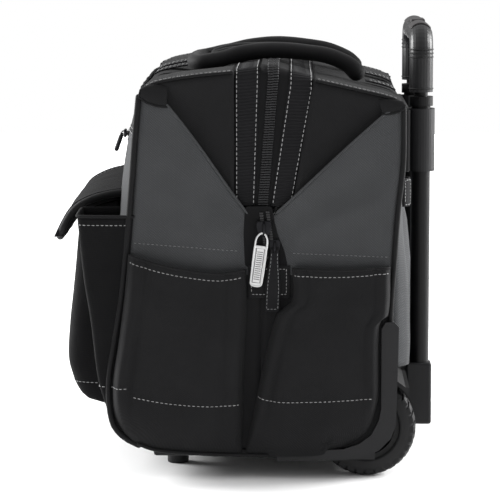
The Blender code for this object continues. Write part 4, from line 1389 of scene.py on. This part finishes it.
def build_handle_mounts():
    """Webbing tails that carry each handle from the top edge of its wall."""
    across = (-12.5, -8, -3, 3, 8, 12.5)
    for name, arch, edge, tip in (("front", FRONT_ARCH, -118, -63), ("rear", REAR_ARCH, 136, 104.5)):
        for side, suffix in SIDES:
            leg_y = side * HANDLE_LEG_Y[name]
            xs = steps(edge, tip, 1.0)
            rows = []
            for n, x in enumerate(xs):
                z = curve_at(arch, x) + 2.0 + 0.25 * (n % 2)
                rows.append([Vector((x, leg_y + y, z)) for y in across])
            if edge < tip:
                rows = rows[::-1]
            tail = sheet("handle_tail_%s_%s" % (name, suffix), rows, WEBBING, "carcass", 1.4)
            if suffix == "near":
                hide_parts("handle_mount_" + name)
            for index, offset in enumerate((-10, 10)):
                line = [Vector((x, leg_y + offset, curve_at(arch, x) + 2.6)) for x in xs[2:-2]]
                stitches("tail_stitch_%s_%s_%d" % (name, suffix, index), line, THREAD, "carcass")


# ---------------------------------------------------------------- hardware


def build_wheels():
    """Tyre with blocks of tread round a plain ring; the hub keeps its own shape."""
    for _, suffix in SIDES:
        node = "wheel_%s_tyre" % suffix
        half = (high(node, 1) - low(node, 1)) / 2
        hub = Vector((WHEEL_X, middle_of(node, 1), WHEEL_R))
        body = "wheel_" + suffix
        inner = WHEEL_R * 0.665
        profile = [(-half, inner), (-half, WHEEL_R - 9)]
        profile += [(-half + 1, WHEEL_R - 4.5), (-half + 4, WHEEL_R - 2.6)]
        profile += [(-w, r) for w, r in reversed(profile)]
        profile = fine_profile(profile)
        around = 96
        points = []
        for w, r in profile:
            for j in range(around):
                turn = 2 * math.pi * j / around
                points.append(hub + Vector((r * math.cos(turn), w, r * math.sin(turn))))
        faces = grid_faces(len(profile), around, wrap=True)
        last = (len(profile) - 1) * around
        for j in range(around):
            k = (j + 1) % around
            faces.append((last + j, last + k, k, j))
        tyre = make_piece("tyre_" + suffix, points, faces, RUBBER, body)
        repair_normals(tyre)
        stand_for(node)
        build_tread("tread_" + suffix, hub, half, body)


def fine_profile(profile):
    """The profile with a point about every 3 millimetres."""
    result = []
    for (w0, r0), (w1, r1) in zip(profile, profile[1:]):
        count = max(1, round(math.hypot(w1 - w0, r1 - r0) / 3))
        result += [(between(w0, w1, k / count), between(r0, r1, k / count)) for k in range(count)]
    return result + [profile[-1]]


def build_tread(name, hub, half, body):
    """Blocks in three rows: slanted shoulders on each side of a zigzag crown."""
    points, faces = [], []
    blocks = 30
    pitch = 2 * math.pi / blocks
    for k in range(blocks):
        rows = (
            (-half + 0.4, -half * 0.42, k * pitch, 0.34, 0.20),
            (-half * 0.30, half * 0.30, (k + 0.5) * pitch, 0.32, -0.20 if k % 2 else 0.20),
            (half * 0.42, half - 0.4, k * pitch, 0.34, -0.20),
        )
        for w0, w1, turn, wide, slant in rows:
            first = len(points)
            for r, inset in ((WHEEL_R - 4.5, 0.0), (WHEEL_R - 0.9, 0.0), (WHEEL_R - 0.05, 0.12)):
                for w, skew in ((w0, -slant), (w1, slant)):
                    crown = 2.4 * max(0.0, (abs(w) - half * 0.5) / (half * 0.5)) ** 2
                    across = w + (0.5 if w == w0 else -0.5) * (inset > 0)
                    reach = r - crown
                    for end in (-1, 1):
                        angle = turn + pitch * (skew + end * (wide - inset * 0.4))
                        spoke = Vector((reach * math.cos(angle), across, reach * math.sin(angle)))
                        points.append(hub + spoke)
            for level in range(2):
                a, b = first + level * 4, first + level * 4 + 4
                for p, q in ((0, 1), (1, 3), (3, 2), (2, 0)):
                    faces.append((a + p, a + q, b + q, b + p))
            top = first + 8
            faces.append((top, top + 1, top + 3, top + 2))
    tread = make_piece(name, points, faces, RUBBER, body, smooth=False)
    repair_normals(tread)


def dress(node, material, bevel=0.0):
    """Gives a CAD node its finish, and softens its edges."""
    piece = frame["nodes"][node]
    for part in piece.material_slots:
        part.material = material
    if bevel:
        round_edges(piece, bevel, 2, 38)


def dress_hardware():
    """The nodes that keep their CAD shape. A star stands for near and for far."""
    soft_edges = 0.8
    finishes = (
        (PLASTIC, soft_edges, ("upper_bracket", "lower_bracket_*", "corner_guard_*", "foot_*")),
        (DARK_PLASTIC, soft_edges, ("base_tray", "wheel_carrier", "wheel_*_hub")),
        (ENAMEL, 0.0, ("outer_tube_*", "middle_tube_*", "inner_tube_*")),
        (GRIP_PLASTIC, 0.0, ("grip",)),
        (BUTTON_PLASTIC, soft_edges, ("release_button",)),
        (STEEL, 0.0, ("axle", "mouth_bow_front", "mouth_bow_rear", "pivot_pin_*")),
        (BLACK_STEEL, 0.0, ("front_zip_slider",)),
        (WEBBING, 0.0, ("front_zip_pull",)),
        (FOAM, 0.0, ("ball_cradle",)),
    )
    for material, bevel, names in finishes:
        for name in names:
            for suffix in ("near", "far") if "*" in name else ("",):
                dress(name.replace("*", suffix), material, bevel)


def build_keeper_tabs():
    """Small loops of webbing on the back panel beside the trolley tubes, each with a box of stitches."""
    for side, suffix in SIDES:
        node = "keeper_tab_" + suffix
        middle = middle_of(node, 1)
        half = (high(node, 1) - low(node, 1)) / 2
        x = low(node, 0) - 1.4
        z0, z1 = low(node, 2), high(node, 2)

        def put(share, z, lift=0.0):
            """A point of the loop, which runs from the end of the bag at share 0 towards mid-length."""
            rise = KEEPER_RISE * math.sin(math.pi * clamp(share)) ** 0.7
            return Vector((x + rise + lift, middle + side * (half * (1 - 2 * share) + lift), z))

        rows = [[put(share, z) for share in steps(0, 1, 0.05)] for z in steps(z0, z1, 1.5)]
        tab = sheet("keeper_" + suffix, rows, WEBBING, "carcass", 1.4)
        stand_for(node)
        corners = [(0.05, z0 + 2), (0.42, z0 + 2), (0.42, z1 - 2), (0.05, z1 - 2)]
        box_of_stitches("keeper_stitch_" + suffix, put, corners, 0.5, "carcass", 3.4, 2.6, 0.4)


# ---------------------------------------------------------------- grip


def build_grip_details():
    """Ring lines round each sleeve of the trolley grip, and a soft pad let into the top of its bar."""
    body = "inner_stage"
    top = high("grip", 2)
    radius = (high("grip", 0) - low("grip", 0)) / 2
    x = middle_of("grip", 0)
    for side, suffix in SIDES:
        y = side * (high("grip", 1) - radius)
        for index, z in enumerate((386.5, 419.0, 423.0, 427.0)):
            circle = []
            for t in steps(0, 2 * math.pi, 0.2):
                circle.append(Vector((x + radius * math.cos(t), y + radius * math.sin(t), z)))
            tube("grip_ring_%s_%d" % (suffix, index), circle, 0.7, DARK_PLASTIC, body, 8)
    for side, suffix in SIDES:
        start, stop = high("release_button", 1) + 4, high("grip", 1) - 24
        rows = []
        for y in steps(start, stop, 3):
            reach = radius + 0.7 * smoothstep(min(y - start, stop - y) / 6)
            row = []
            for t in steps(-1.0, 1.0, 0.12):
                row.append(Vector((x + reach * math.sin(t), side * y, top - radius + reach * math.cos(t))))
            rows.append(row)
        sheet("grip_pad_" + suffix, rows, BUTTON_PLASTIC, body, 1.2)


# ---------------------------------------------------------------- studio


def add_area(name, place, target, size, power):
    light = bpy.data.lights.new(name, "AREA")
    light.energy = power
    light.size = size
    lamp = bpy.data.objects.new(name, light)
    lamp.location = to_frame(*place)
    lamp.rotation_euler = (Vector(target) - Vector(place)).to_track_quat("-Z", "Y").to_euler()
    bpy.context.scene.collection.objects.link(lamp)


def build_sky():
    """White to the camera. It lights the bag mostly from above and from both sides."""
    world = bpy.data.worlds.new("studio")
    world.use_nodes = True
    tree = world.node_tree

    def calc(operation, a, b=0.0, c=0.0):
        made = tree.nodes.new("ShaderNodeMath")
        made.operation = operation
        for index, value in enumerate((a, b, c)):
            if isinstance(value, bpy.types.NodeSocket):
                tree.links.new(value, made.inputs[index])
            else:
                made.inputs[index].default_value = value
        return made.outputs[0]

    place = tree.nodes.new("ShaderNodeTexCoord")
    parts = tree.nodes.new("ShaderNodeSeparateXYZ")
    tree.links.new(place.outputs["Generated"], parts.inputs[0])
    sides = calc("MULTIPLY", calc("POWER", calc("ABSOLUTE", parts.outputs[0]), 2.0), 0.7)
    above = calc("MULTIPLY", calc("MAXIMUM", parts.outputs[2], 0.0), 0.9)
    light = calc("ADD", calc("ADD", sides, above), 0.16)
    seen = tree.nodes.new("ShaderNodeLightPath").outputs["Is Camera Ray"]
    strength = calc("ADD", calc("MULTIPLY", light, calc("SUBTRACT", 1.0, seen)), seen)
    background = tree.nodes["Background"]
    background.inputs["Color"].default_value = (1, 1, 1, 1)
    tree.links.new(strength, background.inputs["Strength"])
    bpy.context.scene.world = world


def build_studio():
    """A white floor that glows with distance, so that it meets the sky without a line, and two softboxes."""
    s = Surface("studio_white")
    tone = s.blend_colour(s.noise(900, 2), linear("f7f7f7"), linear("fbfbfb"))
    away = s.node("ShaderNodeVectorMath", {0: s.place}, operation="LENGTH").outputs["Value"]
    glow = s.math("MULTIPLY", s.math("MAXIMUM", s.math("SUBTRACT", away, 500), 0.0), 0.0004)
    white = s.finish(colour=tone, roughness=0.9, glow=glow, glow_colour=linear("ffffff"))
    rows = [[Vector((x, y, 0)) for x in (-4000, 4000)] for y in (-4000, 4000)]
    floor = make_piece("floor", [p for row in rows for p in row], [(0, 1, 3, 2)], white, None)
    build_sky()
    aim = (0, 0, 220)
    add_area("left_softbox", (-1400, 500, 800), aim, 0.8, 42)
    add_area("right_softbox", (1400, 300, 800), aim, 0.8, 42)
    bpy.context.scene.view_settings.view_transform = "Standard"


def build_camera():
    """Looks at the near end from a little above, with the depth vanishing just right of the middle."""
    distance, eye_x, eye_z = 2850, 29, 585
    field, down, turn = 9.955, 7.04, 0.864  # degrees
    data = bpy.data.cameras.new("camera")
    data.sensor_width = 36
    data.lens = data.sensor_width / (2 * math.tan(math.radians(field) / 2))
    data.clip_end = 100
    camera = bpy.data.objects.new("camera", data)
    camera.location = to_frame(eye_x, -(HALF + distance), eye_z)
    camera.rotation_euler = (math.radians(90 - down), 0, math.radians(turn))
    bpy.context.scene.collection.objects.link(camera)
    bpy.context.scene.camera = camera


# ---------------------------------------------------------------- everything in its place

build_front_wall()
build_back_wall()
build_top_fabric("top_fabric_front", "top_panel_front", FRONT_ARCH, FRONT_GUSSET, FRONT_MOUTH)
build_top_fabric("top_fabric_rear", "top_panel_rear", REAR_ARCH, REAR_GUSSET, REAR_MOUTH)
build_top_stitching("top_front", FRONT_ARCH, FRONT_MOUTH)
build_top_stitching("top_rear", REAR_ARCH, REAR_MOUTH)
build_mouth_strip("mouth_strip_front", "mouth_front")
build_mouth_strip("mouth_strip_rear", "mouth_rear")
build_zip_half("zip_half_front", "mouth_front", 1)
build_zip_half("zip_half_rear", "mouth_rear", -1)
for side, suffix in SIDES:
    build_end_panel(side, suffix)
    build_end_edges(side, suffix)
    build_ears(side, suffix)
    build_zip_stop(side, suffix)
    build_front_end_pocket(side, suffix)
    build_rear_end_pocket(side, suffix)
    build_bottom_welt(side, suffix)
build_slider("slider_body_upper", "slider_upper", "upper_slider", 15, 15, 3.0)
build_slider("slider_body_lower", "slider_lower", "lower_slider", 11, 14, 0.8)
build_metal_pull()
build_webbing_pull()
build_front_pockets()
build_cargo_gussets()
build_flap()
build_front_zip()
build_carry_handles()
build_handle_mounts()
build_keeper_tabs()
build_grip_details()
build_wheels()
dress_hardware()
build_studio()
build_camera()
